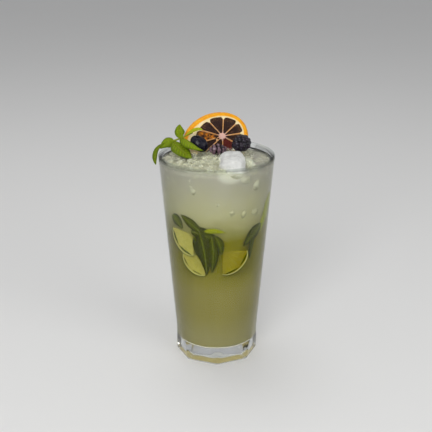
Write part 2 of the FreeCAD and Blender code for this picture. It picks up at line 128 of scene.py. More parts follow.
class DrinkSettings(bpy.types.PropertyGroup):
    overlap: length("Overlap", 0.25 * MM, "How far the drink reaches into the wall")
    meniscus: length("Meniscus", 0.9 * MM, "Rise of the drink where it meets the wall")
    top_colour: colour("Top", (0.285, 0.272, 0.230), "Drink at its surface")
    upper_colour: colour("Upper", (0.348, 0.333, 0.188), "Drink among the sunk ice")
    middle_colour: colour("Middle", (0.150, 0.136, 0.004), "Drink round the mint")
    low_colour: colour("Low", (0.194, 0.170, 0.046), "Drink below the mint")
    floor_colour: colour("Floor", (0.230, 0.207, 0.090), "Drink at the floor")
    drift_colour: colour("Drifts", (0.11, 0.105, 0.004), "Dark drifts round the mint")
    lit_colour: colour("Lit", (0.60, 0.59, 0.50), "Drink beside the white lump")
    lit_right: length("Lit, right", 10 * MM, "Middle of the lit drink, to the right")
    lit_dip: length("Lit, dip", 1.5 * MM, "Middle of the lit drink, below the surface")
    clear_tint: colour("Clear tint", (0.97, 0.98, 0.93), "Clear drink next to the wall")
    gloss: colour("Gloss", (0.2, 0.2, 0.2), "Strength of reflections on the clear drink")
    # Painted glow: colour that the drink's underside gives off by emission.
    painted_glow: colour("Glow", (0.34, 0.285, 0.135), "Light that seeps through to the drink's underside")
    pocket: length("Pocket", 2.6 * MM, "Clear depth over the sunk pieces")
    veil: share("Veil", 0.025, "Cloudiness of each thin layer over the sunk pieces")


class IceSettings(bpy.types.PropertyGroup):
    crown: length("Crown", 5.2 * MM, "Highest crushed ice above the drink")
    edge: length("Edge", 0.8 * MM, "Height of the ice's edge above the drink")
    margin: length("Margin", 3.4 * MM, "Drink left open between ice and wall")
    open_side: length("Open side", 13.5 * MM, "How far the ice keeps back on the right")
    grain: length("Grain", 0.55 * MM, "Unevenness of the ice surface")
    chips: count("Chips", 620, "Loose chips of ice on the heap")
    white: colour("White", (0.74, 0.74, 0.71), "Packed ice")
    bed: colour("Bed", (0.34, 0.335, 0.225), "Wet ice under the chips")
    speck: colour("Speck", (0.78, 0.78, 0.72), "White specks in the wet ice")
    clear: colour("Clear ice", (0.97, 0.98, 0.89), "Loose chips")
    heaped: count("Heaped chips", 44, "Chips heaped beside the white lump")
    heap_right: length("Heap, right", 22 * MM, "Middle of that heap, to the right")
    heap_front: length("Heap, front", 15 * MM, "Middle of that heap, to the front")
    sunk: count("Sunk chips", 26, "Chips that show through the wall")
    sunk_low: colour("Sunk, low", (0.33, 0.32, 0.17), "Lowest sunk chips")
    sunk_high: colour("Sunk, high", (0.38, 0.37, 0.28), "Highest sunk chips")
    sunk_patch: colour("Sunk, patches", (0.42, 0.41, 0.30), "Frosted patches of sunk chips")


class SliceSettings(bpy.types.PropertyGroup):
    wide_long: length("Widest, long way", 28.0 * MM, "Long radius of the rind's widest line")
    wide_short: length("Widest, short way", 21.2 * MM, "Short radius of the rind's widest line")
    front_long: length("Face, long way", 26.0 * MM, "Long radius of the front face")
    front_short: length("Face, short way", 17.9 * MM, "Short radius of the front face")
    flesh_long: length("Flesh, long way", 19.9 * MM, "Long radius of the flesh")
    flesh_short: length("Flesh, short way", 15.5 * MM, "Short radius of the flesh")
    tilt: degrees("Tilt", 23, "Turn of the long way in the slice's own plane")
    thickness: length("Thickness", 4.2 * MM, "Slice from face to face")
    lean: degrees("Lean", 38, "Lean back from upright")
    turn: degrees("Turn", 20, "Turn of the face to the right")
    right: length("Right", 1.5 * MM, "Slice's middle, to the right")
    back: length("Back", 17 * MM, "Slice's middle, to the back")
    rise: length("Rise", 8.9 * MM, "Slice's middle above the rim")
    sink: length("Sink", 1.1 * MM, "Dried flesh below the membranes")
    rind: colour("Rind", (0.84, 0.31, 0.005), "Orange rind")
    rind_light: colour("Rind, light", (0.93, 0.45, 0.010), "Lighter patches of the rind")
    rind_pore: colour("Rind, pores", (0.50, 0.12, 0.004), "Pores of the rind")
    pith: colour("Pith", (0.84, 0.66, 0.33), "Pith inside the rind")
    pith_light: colour("Pith, light", (0.88, 0.76, 0.50), "Lighter patches of the pith")
    pith_edge: colour("Pith, edge", (0.80, 0.42, 0.03), "Pith next to the rind")
    membrane: colour("Membrane", (0.62, 0.30, 0.10), "Membrane between segments")
    membrane_light: colour("Membrane, light", (0.72, 0.42, 0.20), "Lighter parts of a membrane")
    hub: colour("Hub", (0.74, 0.46, 0.38), "Core where the membranes meet")
    flesh: colour("Flesh", (0.030, 0.012, 0.008), "Dried flesh")
    fibre: colour("Fibre", (0.17, 0.075, 0.040), "Lighter fibres in the flesh")
    dry_edge: colour("Dry edge", (0.26, 0.13, 0.045), "Flesh that has dried next to the pith")
    amber: colour("Amber", (0.66, 0.22, 0.008), "Flesh of the amber segment")
    red: colour("Red", (0.16, 0.010, 0.006), "Flesh of the red segments")


class BerrySettings(bpy.types.PropertyGroup):
    smooth_length: length("Smooth length", 15.5 * MM, "Smooth berry, end to end")
    smooth_girth: length("Smooth girth", 11.2 * MM, "Smooth berry, across")
    smooth_right: length("Smooth, right", SMOOTH_MIDDLE.x, "Smooth berry's middle, to the right")
    smooth_back: length("Smooth, back", SMOOTH_MIDDLE.y, "Smooth berry's middle, to the back")
    smooth_rise: length("Smooth, rise", SMOOTH_MIDDLE.z - RIM,
                        "Smooth berry's middle above the rim")
    bumpy_length: length("Bumpy length", 15.6 * MM, "Large bumpy berry, end to end")
    bumpy_girth: length("Bumpy girth", 13.4 * MM, "Large bumpy berry, across")
    small_length: length("Small length", 14.2 * MM, "Low bumpy berry, end to end")
    small_girth: length("Small girth", 8.6 * MM, "Low bumpy berry, across")
    skin: colour("Skin", (0.006, 0.005, 0.012), "Dark skin")
    # Dusty bloom on both berries; on the bead tops of the bumpy ones it is also painted sheen.
    bloom_and_sheen: colour("Bloom", (0.17, 0.17, 0.27), "Dusty bloom on the skin")
    stalk_end: colour("Stalk end", (0.05, 0.035, 0.03), "Hollow where the stalk was")
    bead: colour("Bead", (0.016, 0.006, 0.016), "Reddest beads")
    dusty: colour("Dusty", (0.185, 0.110, 0.135), "Frosted skin of the low berry")
    # Painted shade between the beads.
    between: colour("Between", (0.003, 0.001, 0.003), "Shade between the beads")


class MintSettings(bpy.types.PropertyGroup):
    stem: length("Stem", 0.85 * MM, "Radius of the stem")
    thickness: length("Thickness", 0.55 * MM, "Thickness of a leaf")
    fresh: colour("Fresh", (0.26, 0.36, 0.006), "Young leaf")
    deep: colour("Deep", (0.070, 0.115, 0.001), "Older leaf and shaded side")
    bright: colour("Bright", (0.40, 0.43, 0.012), "Leaf that catches the light")
    vein: colour("Vein", (0.44, 0.48, 0.05), "Veins and stem")
    sunk_fresh: colour("Sunk, fresh", (0.080, 0.092, 0.0002), "Sunk leaf where it catches light")
    sunk_deep: colour("Sunk, deep", (0.004, 0.006, 0.0), "Sunk leaf in its shade")
    sunk_vein: colour("Sunk, vein", (0.21, 0.25, 0.008), "Veins of a sunk leaf")


class LimeSettings(bpy.types.PropertyGroup):
    peel: length("Peel", 1.3 * MM, "Peel and pith together")
    flesh: colour("Flesh", (0.205, 0.172, 0.0005), "Lime flesh")
    pale: colour("Pale flesh", (0.36, 0.33, 0.07), "Flesh of the paler wedges")
    pith: colour("Pith", (0.42, 0.40, 0.14), "Pith of the lime")
    rind: colour("Rind", (0.075, 0.10, 0.002), "Green peel of the lime")


class StageSettings(bpy.types.PropertyGroup):
    distance: length("Distance", 0.640, "Camera in front of the glass's axis")
    height: length("Height", 0.3416, "Camera above the table")
    aside: length("Aside", -0.00047, "Camera beside the glass's axis")
    pitch: degrees("Pitch", 19.86, "Camera's look down from level")
    lens: number("Lens", 74.4, "Focal length in mm")
    floor: colour("Floor", (0.84, 0.835, 0.82), "Plain floor")
    floor_drift: colour("Floor, drift", (0.6, 0.6, 0.6), "Faint darker drifts of the floor")
    floor_radius: length("Floor radius", 7.0, "Round floor")
    floor_depth: length("Floor depth", 0.05, "Thickness of the floor")
    sky: colour("Sky", (0.97, 0.98, 1.0), "Even light from all round")
    sky_strength: number("Sky strength", 0.40, "Strength of the even light")
    key: number("Key", 10.0, "Power of the light at the front left")
    fill: number("Fill", 4.5, "Power of the light at the front right")
    top: number("Top", 2.6, "Power of the light above")


# ------------------------------------------------------------------- meshes

def facing_out(points, quads, tris):
    """Turns all faces round when the volume they enclose is negative."""
    halves = np.concatenate([quads[:, [0, 1, 2]], quads[:, [0, 2, 3]], tris])
    a, b, c = (points[halves[:, corner]] for corner in range(3))
    if np.einsum("ij,ij->i", a, np.cross(b, c)).sum() < 0:
        return quads[:, ::-1], tris[:, ::-1]
    return quads, tris


def closed_tube(rings, start, end, **attributes):
    """A closed skin from rings of points, shape (rings, around, 3), and two end points.

    Neighbouring rings are joined by quads and each end by a fan.  An attribute is an
    array of shape (rings, around); an end takes the mean of the ring next to it.
    """
    rows, around, _ = rings.shape
    row, col = np.meshgrid(np.arange(rows - 1), np.arange(around), indexing="ij")
    after = (col + 1) % around
    quads = np.stack([row * around + col, row * around + after,
                      (row + 1) * around + after, (row + 1) * around + col], -1).reshape(-1, 4)
    ring = np.arange(around)
    following = (ring + 1) % around
    first = rows * around
    last = first + 1
    tail = (rows - 1) * around
    tris = np.concatenate([
        np.stack([np.full(around, first), following, ring], -1),
        np.stack([np.full(around, last), tail + ring, tail + following], -1)])
    points = np.concatenate([rings.reshape(-1, 3), [start], [end]])
    quads, tris = facing_out(points, quads, tris)
    values = {name: np.concatenate([value.ravel(), [value[0].mean()], [value[-1].mean()]])
              for name, value in attributes.items()}
    return points, quads, tris, values


def make_piece(name, parts, material, flat=False):
    """One object from closed skins, made with whole arrays."""
    points, quads, tris, offset = [], [], [], 0
    for part in parts:
        points.append(part[0])
        quads.append(part[1] + offset)
        tris.append(part[2] + offset)
        offset += len(part[0])
    points = np.concatenate(points)
    quads = np.concatenate(quads)
    tris = np.concatenate(tris)
    mesh = bpy.data.meshes.new(name)
    mesh.vertices.add(len(points))
    mesh.vertices.foreach_set("co", points.astype(np.float32).ravel())
    corners = np.concatenate([quads.ravel(), tris.ravel()]).astype(np.int32)
    mesh.loops.add(len(corners))
    mesh.loops.foreach_set("vertex_index", corners)
    starts = np.concatenate([np.arange(len(quads)) * 4,
                             len(quads) * 4 + np.arange(len(tris)) * 3]).astype(np.int32)
    mesh.polygons.add(len(starts))
    mesh.polygons.foreach_set("loop_start", starts)
    mesh.polygons.foreach_set("use_smooth", np.full(len(starts), not flat))
    for key in parts[0][3]:
        values = np.concatenate([part[3][key] for part in parts]).astype(np.float32)
        mesh.attributes.new(key, "FLOAT", "POINT").data.foreach_set("value", values)
    mesh.update(calc_edges=True)
    mesh.validate()
    mesh.materials.append(material)
    piece = bpy.data.objects.new(name, mesh)
    bpy.context.scene.collection.objects.link(piece)
    return piece


def unit(vectors):
    """Vectors divided by their lengths."""
    return vectors / np.maximum(np.linalg.norm(vectors, axis=-1, keepdims=True), 1e-12)


def curve(points, along):
    """Places and directions on a curve from start to end, drawn towards pull.

    A place is start, pull and end, weighted by (1 - t) squared, 2 t (1 - t) and t squared.
    """
    start, pull, end = (np.asarray(point, float) for point in points)
    t = along[:, None]
    place = start * (1 - t) ** 2 + pull * (2 * t * (1 - t)) + end * t ** 2
    way = (pull - start) * (2 * (1 - t)) + (end - pull) * (2 * t)
    return place, unit(way)


def smooth_step(low, high, value):
    """An eased rise from 0 at low to 1 at high: 3 t squared less 2 t cubed."""
    t = np.clip((value - low) / (high - low), 0, 1)
    return t * t * (3 - 2 * t)


def value_noise(x, y, z, seed=0):
    """Smooth repeatable noise from -1 to 1.

    Each corner of a unit grid gets a number by mixing its coordinates with large odd
    numbers, and the eight corners round a point are blended with eased weights.
    """
    cell = [np.floor(axis).astype(np.int64) for axis in (x, y, z)]
    part = [axis - base for axis, base in zip((x, y, z), cell)]
    ease = [p * p * (3 - 2 * p) for p in part]
    total = 0.0
    for corner in range(8):
        bits = [(corner >> axis) & 1 for axis in range(3)]
        key = ((cell[0] + bits[0]) * 73856093 ^ (cell[1] + bits[1]) * 19349663
               ^ (cell[2] + bits[2]) * 83492791 ^ seed * 2654435761) & 0xFFFFFFFF
        key = (key ^ (key >> 13)) * 1274126177 & 0xFFFFFFFF
        key = (key ^ (key >> 16)) & 0xFFFF
        weight = 1.0
        for axis in range(3):
            weight = weight * (ease[axis] if bits[axis] else 1 - ease[axis])
        total = total + weight * (key / 32767.5 - 1)
    return total


def globe_ways(levels, around):
    """Unit directions over a sphere, ring by ring, without the two poles.

    Each is the sine of its angle from the pole, turned about z, and that angle's cosine.
    """
    polar = np.linspace(0, math.pi, levels + 2)[1:-1, None]
    turn = np.linspace(0, 2 * math.pi, around, endpoint=False)
    return np.stack([np.sin(polar) * np.cos(turn), np.sin(polar) * np.sin(turn),
                     np.cos(polar) * np.ones_like(turn)], -1)


def block_reach(way, half, power):
    """Distance along a way to the skin of a rounded block, or of an egg at power 2.

    There, the shares of the three half sizes, each to that power, add up to one.
    """
    return (np.abs(way / np.asarray(half)) ** power).sum(-1) ** (-1 / power)


def turn_matrix(axis, angle):
    """Rotation by an angle about x, y or z, as a 3 x 3 array."""
    cos, sin = math.cos(angle), math.sin(angle)
    first, second = {"x": (1, 2), "y": (2, 0), "z": (0, 1)}[axis]
    matrix = np.eye(3)
    matrix[first, first] = matrix[second, second] = cos
    matrix[first, second] = -sin
    matrix[second, first] = sin
    return matrix


def frame_along(direction):
    """A 3 x 3 array whose third column is a direction and whose others are square to it."""
    third = unit(np.asarray(direction, float))
    helper = np.array([0.0, 0.0, 1.0]) if abs(third[2]) < 0.9 else np.array([0.0, 1.0, 0.0])
    first = unit(np.cross(helper, third))
    return np.stack([first, np.cross(third, first), third], axis=1)


# ------------------------------------------------------------------ shaders

class Term:
    """A socket that takes part in arithmetic: each operator adds one Math node."""

    def __init__(self, shader, socket):
        self.shader = shader
        self.socket = socket

    def _math(self, operation, first, second):
        return self.shader.node("ShaderNodeMath", {"operation": operation},
                                in0=first, in1=second)

    def __add__(self, other):
        return self._math("ADD", self, other)

    def __sub__(self, other):
        return self._math("SUBTRACT", self, other)

    def __rsub__(self, other):
        return self._math("SUBTRACT", other, self)

    def __mul__(self, other):
        return self._math("MULTIPLY", self, other)

    def __truediv__(self, other):
        return self._math("DIVIDE", self, other)

    def __pow__(self, other):
        return self._math("POWER", self, other)

    __radd__ = __add__
    __rmul__ = __mul__

    def step(self, low, high):
        """Eased rise from 0 at low to 1 at high."""
        return self.shader.node("ShaderNodeMapRange", {"interpolation_type": "SMOOTHSTEP"},
                                Value=self, From_Min=low, From_Max=high)


class Shader:
    """A material that is written as expressions."""

    def __init__(self, name):
        self.material = bpy.data.materials.new(name)
        self.material.use_nodes = True
        self.tree = self.material.node_tree
        self.tree.nodes.clear()
        self.output = self.tree.nodes.new("ShaderNodeOutputMaterial")

    def node(self, kind, settings=None, output=0, **sockets):
        """Adds a node: settings first, then each socket's value or link by its name."""
        node = self.tree.nodes.new(kind)
        for key, value in (settings or {}).items():
            setattr(node, key, value)
        for key, value in sockets.items():
            if key.startswith("in") and key[2:].isdigit():
                target = node.inputs[int(key[2:])]
            else:
                target = node.inputs[key.replace("_", " ")]
            self.feed(target, value)
        return Term(self, node.outputs[output])

    def feed(self, target, value):
        """Links a socket to a term, or sets its value."""
        if isinstance(value, Term):
            self.tree.links.new(value.socket, target)
        elif target.type == "RGBA" and len(value) == 3:
            target.default_value = (*value, 1.0)
        else:
            target.default_value = value

    def place(self):
        """Object coordinates."""
        return self.node("ShaderNodeTexCoord", output="Object")

    def axis(self, name):
        """One of the object coordinates: X, Y or Z."""
        return self.node("ShaderNodeSeparateXYZ", output=name, Vector=self.place())

    def attribute(self, name):
        """A number that the mesh carries at each point."""
        return self.node("ShaderNodeAttribute", {"attribute_name": name}, output="Fac")

    def noise(self, scale, detail=3.0, rough=0.55):
        """Cloudy noise around 0.5 on the object coordinates, with scale swells a metre."""
        return self.node("ShaderNodeTexNoise", {}, Vector=self.place(), Scale=scale,
                         Detail=detail, Roughness=rough)

    def mix(self, factor, first, second):
        """A colour between two colours."""
        node = self.tree.nodes.new("ShaderNodeMix")
        node.data_type = "RGBA"
        self.feed(node.inputs[0], factor)
        self.feed(node.inputs[6], first)
        self.feed(node.inputs[7], second)
        return Term(self, node.outputs[2])

    def ramp(self, factor, stops):
        """A colour read off a row of (place, colour) stops."""
        node = self.tree.nodes.new("ShaderNodeValToRGB")
        elements = node.color_ramp.elements
        while len(elements) < len(stops):
            elements.new(1.0)
        for element, (place, value) in zip(elements, stops):
            element.position = place
            element.color = (*value, 1.0)
        self.feed(node.inputs[0], factor)
        return Term(self, node.outputs[0])

    def bump(self, height, strength, distance):
        """A normal that follows a height."""
        return self.node("ShaderNodeBump", {}, Height=height, Strength=strength, Distance=distance)

    def surface(self, **sockets):
        """A Principled shader with the given sockets."""
        return self.node("ShaderNodeBsdfPrincipled", {}, **sockets)

    def clear(self, tint=(1.0, 1.0, 1.0)):
        """Lets light straight through."""
        return self.node("ShaderNodeBsdfTransparent", {}, Color=tint)

    def blend(self, factor, first, second):
        """A shader between two shaders."""
        return self.node("ShaderNodeMixShader", {}, in0=factor, in1=first, in2=second)

    def finish(self, shader):
        """Joins a shader to the output and gives the material."""
        self.tree.links.new(shader.socket, self.output.inputs["Surface"])
        return self.material


# ---------------------------------------------------------------- the glass

def blend_low(first, second, width):
    """The lower of two values, eased by a parabola where they are within a width."""
    part = np.clip(0.5 + 0.5 * (second - first) / width, 0, 1)
    return second * (1 - part) + first * part - width * part * (1 - part)


def wall_radius(settings, height):
    """Outer radius of the round body: an upright foot that eases into a straight taper."""
    taper = (settings.rim_radius - settings.foot_corner) / (RIM - settings.knee)
    cone = settings.foot_corner + (height - settings.knee) * taper
    return -blend_low(-cone, -np.full_like(height, settings.foot_corner), 0.4 * MM)


def outer_radius(settings, turn, height):
    """Outer radius all round: the lower of the round body and the flat sides.

    A flat side is its middle's distance over the cosine of the turn beside it, and it
    leans outwards until it leaves the round body.
    """
    sector = 2 * math.pi / settings.sides
    beside = (turn - settings.turn) % sector - sector / 2
    reach = wall_radius(settings, np.array([settings.facet_top]))[0]
    flat = settings.apothem + (reach - settings.apothem) * height / settings.facet_top
    return blend_low(flat / np.cos(beside), wall_radius(settings, height), 0.5 * MM)


def bore_radius(settings, height):
    """Inner radius: a straight taper from the floor to the rim."""
    top = settings.rim_radius - settings.wall
    return settings.floor_radius + (top - settings.floor_radius) * (height - FLOOR) / (RIM - FLOOR)


def bore_profile(settings, top, inset, lift):
    """Radius and height down the inside from a top height to the floor's middle.

    inset moves the line towards the axis and lift moves the floor up.
    """
    floor = FLOOR + lift
    corner = settings.floor_round
    steps = np.linspace(0, 1, 60)
    wall_height = top + (floor + corner - top) * steps
    wall = bore_radius(settings, wall_height) - inset
    bend = np.linspace(0, math.pi / 2, 10)[1:]
    edge = wall[-1]
    bend_radius = edge - corner * (1 - np.cos(bend))
    bend_height = floor + corner * (1 - np.sin(bend))
    flat = np.linspace(1, 0, 12)[1:-1]
    radius = np.concatenate([wall, bend_radius, bend_radius[-1] * flat])
    height = np.concatenate([wall_height, bend_height, np.full(len(flat), floor)])
    return radius, height


def tumbler_skin(settings):
    """Skin of the glass, from the middle of the underside, out, up, over the rim and down.

    The underside rises to its middle by an eased step, the heel is a quarter circle, the
    outside follows outer_radius, the rim is half a circle and the inside is the bore.
    """
    turn = np.linspace(0, 2 * math.pi, 288, endpoint=False) - math.pi / 2
    rings = []

    def add(radius, height):
        """One more ring; both may change round it."""
        rings.append(np.stack([radius * np.cos(turn), radius * np.sin(turn),
                               np.broadcast_to(height, turn.shape)], -1))

    heel = settings.heel
    sole = outer_radius(settings, turn, np.full_like(turn, heel)) - heel
    for part in np.linspace(0, 1, 34)[1:]:
        add(sole * part, settings.punt * (1 - smooth_step(0.60, 0.95, part)))
    for bend in np.linspace(0, math.pi / 2, 9)[1:]:
        add(sole + heel * math.sin(bend), heel * (1 - math.cos(bend)))
    low = np.linspace(heel, settings.facet_top + 8 * MM, 44)[1:]
    high = np.linspace(low[-1], RIM - settings.wall / 2, 40)[1:]
    for height in np.concatenate([low, high]):
        add(outer_radius(settings, turn, np.full_like(turn, height)), height)
    half = settings.wall / 2
    middle = settings.rim_radius - half
    for bend in np.linspace(0, math.pi, 17)[1:]:
        add(np.full_like(turn, middle + half * math.cos(bend)), RIM - half + half * math.sin(bend))
    for radius, height in zip(*bore_profile(settings, RIM - half, 0.0, 0.0)):
        add(np.full_like(turn, radius), height)
    rings = np.stack(rings)
    rim = smooth_step(RIM - settings.clear_from, RIM - settings.clear_to, rings[..., 2])
    return closed_tube(rings, [0, 0, settings.punt], [0, 0, FLOOR], rim=rim)


def glass_material(settings):
    """Clear polished glass with a very slight green-grey tint, clearest at its rim."""
    look = Shader("clear_glass")
    body = look.surface(Base_Color=settings.tint, Roughness=0.0, IOR=1.5,
                        Transmission_Weight=1.0, Specular_Tint=settings.gloss)
    through = look.attribute("rim") * settings.rim_clear
    return look.finish(look.blend(through, body, look.clear(settings.tint)))


class DRINK_OT_tumbler(bpy.types.Operator):
    """Build the tumbler"""
    bl_idname = "drink.tumbler"
    bl_label = "Tumbler"

    def execute(self, context):
        settings = context.scene.tumbler
        piece = make_piece("tumbler", [tumbler_skin(settings)], glass_material(settings))
        piece.visible_shadow = False
        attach(piece, "root")
        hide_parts("glass")
        return {"FINISHED"}


# ---------------------------------------------------------------- the drink

# Smallest gap between the glass and a cloudy layer.
LAYER_GAP = 0.12 * MM


def pocket_depth(settings, height):
    """Depth of clearer drink next to the wall.

    It eases from almost none below the lime to the whole pocket round the sunk pieces,
    and back to a little over half of it near the surface.
    """
    lower = smooth_step(62 * MM, 74 * MM, height)
    upper = 1 - 0.45 * smooth_step(118 * MM, 132 * MM, height)
    return 0.35 * MM + settings.pocket * lower * upper


def lathe(radius, height, around, top_middle):
    """A closed skin: a profile that runs down the side, turned about the upright axis."""
    turn = np.linspace(0, 2 * math.pi, around, endpoint=False)
    rings = np.stack([radius[:, None] * np.cos(turn), radius[:, None] * np.sin(turn),
                      np.broadcast_to(height[:, None], (len(height), around))], -1)
    return closed_tube(rings, [0, 0, top_middle], [0, 0, height[-1]])


def clear_skin(glass, drink):
    """Drink next to the glass: the bore's profile, moved into the wall.

    Its top rises to the wall as a falling exponential of the distance from it.
    """
    radius, height = bore_profile(glass, LEVEL + drink.meniscus, -drink.overlap, -drink.overlap)
    inward = np.linspace(0, 1, 26)[:-1]
    edge = radius[0]
    top_radius = edge * inward
    climb = np.exp(-(edge - top_radius) / (0.9 * MM))
    top_height = LEVEL + drink.meniscus * climb
    radius = np.concatenate([top_radius[1:], radius])
    height = np.concatenate([top_height[1:], height])
    return lathe(radius, height, 192, LEVEL)


def cloudy_skin(glass, drink, part, lift, swollen):
    """A layer of cloudy drink, at a part of the way into the clear pocket.

    Its profile is the bore's, moved in by that part of the pocket's depth along the
    wall and shrunk a little round the floor, and never wider than higher up.  A
    swollen layer also moves in and out by noise round the sunk pieces and above.
    """
    top = LEVEL - 0.8 * MM - lift
    radius, height = bore_profile(glass, top, 0.0, LAYER_GAP + lift)
    depth = LAYER_GAP + pocket_depth(drink, height) * part
    upright = height > FLOOR + glass.floor_round + lift
    radius = np.where(upright, radius - depth, radius * (1 - 0.3 * MM / radius.max()))
    radius = np.minimum.accumulate(radius)
    inward = np.linspace(0, 1, 14)[1:-1]
    radius = np.concatenate([radius[0] * inward, radius])
    height = np.concatenate([np.full(len(inward), top), height])
    points, quads, tris, values = lathe(radius, height, 160, top)
    if swollen:
        swell = value_noise(points[:, 0] / 0.007, points[:, 1] / 0.007, points[:, 2] / 0.009, 3)
        amount = 0.5 * MM * smooth_step(70 * MM, 85 * MM, points[:, 2]) * (swell - 1) / 2
        flat = np.linalg.norm(points[:, :2], axis=1, keepdims=True)
        points[:, :2] *= 1 + amount[:, None] / np.maximum(flat, 1 * MM)
    return points, quads, tris, values


def drink_colour(look, settings):
    """Grey-green and pale among the ice, deep olive round the mint, yellow-grey below."""
    height = look.axis("Z")
    drift = look.noise(48.0, 3.0) - 0.5
    level = (height - FLOOR) / (LEVEL - FLOOR) + drift * 0.07
    top, upper = settings.top_colour, settings.upper_colour
    middle, low = settings.middle_colour, settings.low_colour

    def between(first, second, part):
        """A colour part of the way from the first to the second."""
        return tuple(a + (b - a) * part for a, b in zip(first, second))

    base = look.ramp(level, [
        (0.05, settings.floor_colour), (0.20, low), (0.33, low),
        (0.43, between(middle, low, 0.3)), (0.50, middle), (0.63, middle),
        (0.71, between(middle, upper, 0.55)), (0.78, upper), (1.0, top)])
    patches = look.noise(70.0, 4.0, 0.55).step(0.40, 0.75)
    base = look.mix(level.step(0.66, 0.90) * patches * 0.30, base,
                    tuple(item * 1.22 for item in top))
    aside, down = look.axis("X") - settings.lit_right, height - (LEVEL - settings.lit_dip)
    apart = (aside / (9 * MM)) ** 2 + (down / (5.5 * MM)) ** 2
    near_lump = (1 - apart.step(0.0, 1.6)) * (1 - look.axis("Y").step(-30 * MM, -20 * MM))
    base = look.mix(near_lump * 0.6, base, settings.lit_colour)
    dark = look.noise(110.0, 3.0, 0.6).step(0.45, 0.75) * level.step(0.40, 0.52)
    return look.mix(dark * (1 - level.step(0.66, 0.78)) * 0.45, base, settings.drift_colour)


def cloud_material(settings):
    """Cloudy drink: soft, with light that seeps a little way in and out, and a painted glow on its
    underside.
    """
    look = Shader("cloudy_drink")
    tint = drink_colour(look, settings)
    # Painted glow: the drink's underside gives off light by emission, though it is no lamp.
    under = 1 - look.axis("Z").step(FLOOR + 0.2 * MM, FLOOR + 1.6 * MM)
    return look.finish(look.surface(
        Base_Color=tint, Roughness=0.7, Specular_IOR_Level=0.0,
        Emission_Color=look.mix(under, (0.0, 0.0, 0.0), settings.painted_glow),
        Emission_Strength=1.0,
        Subsurface_Weight=0.15, Subsurface_Radius=(1.0, 0.9, 0.5), Subsurface_Scale=3 * MM))


def veil_material(settings):
    """A thin layer of cloudy drink that lets most of what is behind it show."""
    look = Shader("thin_cloud")
    tint = drink_colour(look, settings)
    body = look.surface(Base_Color=tint, Roughness=0.6, Specular_IOR_Level=0.0)
    patches = look.noise(120.0, 3.0, 0.6)
    return look.finish(look.blend(settings.veil * (0.55 + patches * 0.9), look.clear(), body))


def clear_material(settings):
    """The clear liquid itself, which bends light and has a faint tint."""
    look = Shader("clear_drink")
    return look.finish(look.surface(
        Base_Color=settings.clear_tint, Roughness=0.0, IOR=1.34, Transmission_Weight=1.0,
        Specular_Tint=settings.gloss))


class DRINK_OT_drink(bpy.types.Operator):
    """Build the drink: clear liquid, two thin cloudy layers and a cloudy middle"""
    bl_idname = "drink.drink"
    bl_label = "Drink"

    def execute(self, context):
        glass, drink = context.scene.tumbler, context.scene.drink
        clear = make_piece("clear_drink", [clear_skin(glass, drink)], clear_material(drink))
        clear.visible_shadow = False
        cloud = make_piece("cloudy_drink", [cloudy_skin(glass, drink, 1.0, 0.0, True)],
                           cloud_material(drink))
        veils = make_piece("thin_cloud", [cloudy_skin(glass, drink, 0.30, -0.05 * MM, False),
                                          cloudy_skin(glass, drink, 0.65, -0.02 * MM, False)],
                           veil_material(drink))
        veils.visible_shadow = False
        for piece in (clear, cloud, veils):
            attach(piece, "root")
            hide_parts("drink")
        return {"FINISHED"}


# ------------------------------------------------------------------ the ice

def ripple(x, y):
    """Unevenness between about -1 and 1: two products of a slanting sine and a cosine."""
    return (np.sin(1.7 * x + 0.6 * y + 0.4) * np.cos(1.3 * y + 1.1)
            + 0.6 * np.sin(2.9 * y + 1.9 * x) * np.cos(2.3 * x)) / 1.6


def ice_reach(glass, ice, turn):
    """How far the crushed ice spreads from the axis towards a direction.

    The bore's radius less a margin, less a bell-shaped opening on the right, with two
    sines of half a millimetre round the edge.
    """
    away = (turn + math.pi) % (2 * math.pi) - math.pi
    opening = np.exp(-(away / 0.62) ** 2)
    spread = bore_radius(glass, LEVEL) - ice.margin - ice.open_side * opening
    return spread + (0.5 * np.sin(7 * turn) + 0.4 * np.sin(11 * turn + 1)) * MM


def ice_surface(glass, ice, x, y):
    """Height of the heap of crushed ice.

    It falls from the crown to the edge as the distance from the axis to the power 2.4,
    with ripples that fade out towards the edge.
    """
    turn = np.arctan2(y, x)
    part = np.minimum(np.hypot(x, y) / ice_reach(glass, ice, turn), 1.0)
    dome = ice.edge + (ice.crown - ice.edge) * (1 - part ** 2.4)
    settled = np.minimum(1.0, 3 * (1 - part))
    return LEVEL + dome + ice.grain * ripple(x / (2.2 * MM), y / (2.2 * MM)) * settled


def ice_bed_skin(glass, ice):
    """Packed wet ice under the loose chips.

    It is the heap's own surface, a little lower, roughened by two sizes of noise; past
    the heap's edge it eases down to a shelf just under the drink's surface.
    """
    around, steps = 180, 60
    turn = np.linspace(0, 2 * math.pi, around, endpoint=False)
    part = np.linspace(0, 1, steps + 1)[1:, None]
    reach = (bore_radius(glass, LEVEL) - 2.3 * MM) * np.ones_like(turn)
    x, y = reach * part * np.cos(turn), reach * part * np.sin(turn)
    inside = np.hypot(x, y) / ice_reach(glass, ice, np.broadcast_to(turn, x.shape))
    shelf = LEVEL - 1.6 * MM
    top = ice_surface(glass, ice, x, y) - 1.3 * MM
    fall = smooth_step(0.86, 1.06, inside)
    rough = (0.55 * value_noise(x / (1.7 * MM), y / (1.7 * MM), 0 * x, 5)
             + 0.35 * value_noise(x / (0.8 * MM), y / (0.8 * MM), 0 * x, 6)) * MM
    height = top * (1 - fall) + shelf * fall + rough
    upper = np.stack([x, y, height], -1)
    skirt = np.stack([x[-1] * 0.99, y[-1] * 0.99, np.full(around, LEVEL - 4 * MM)], -1)[None]
    rings = np.concatenate([upper, skirt])
    return closed_tube(rings, [0, 0, float(height[0].mean())], [0, 0, LEVEL - 4 * MM])


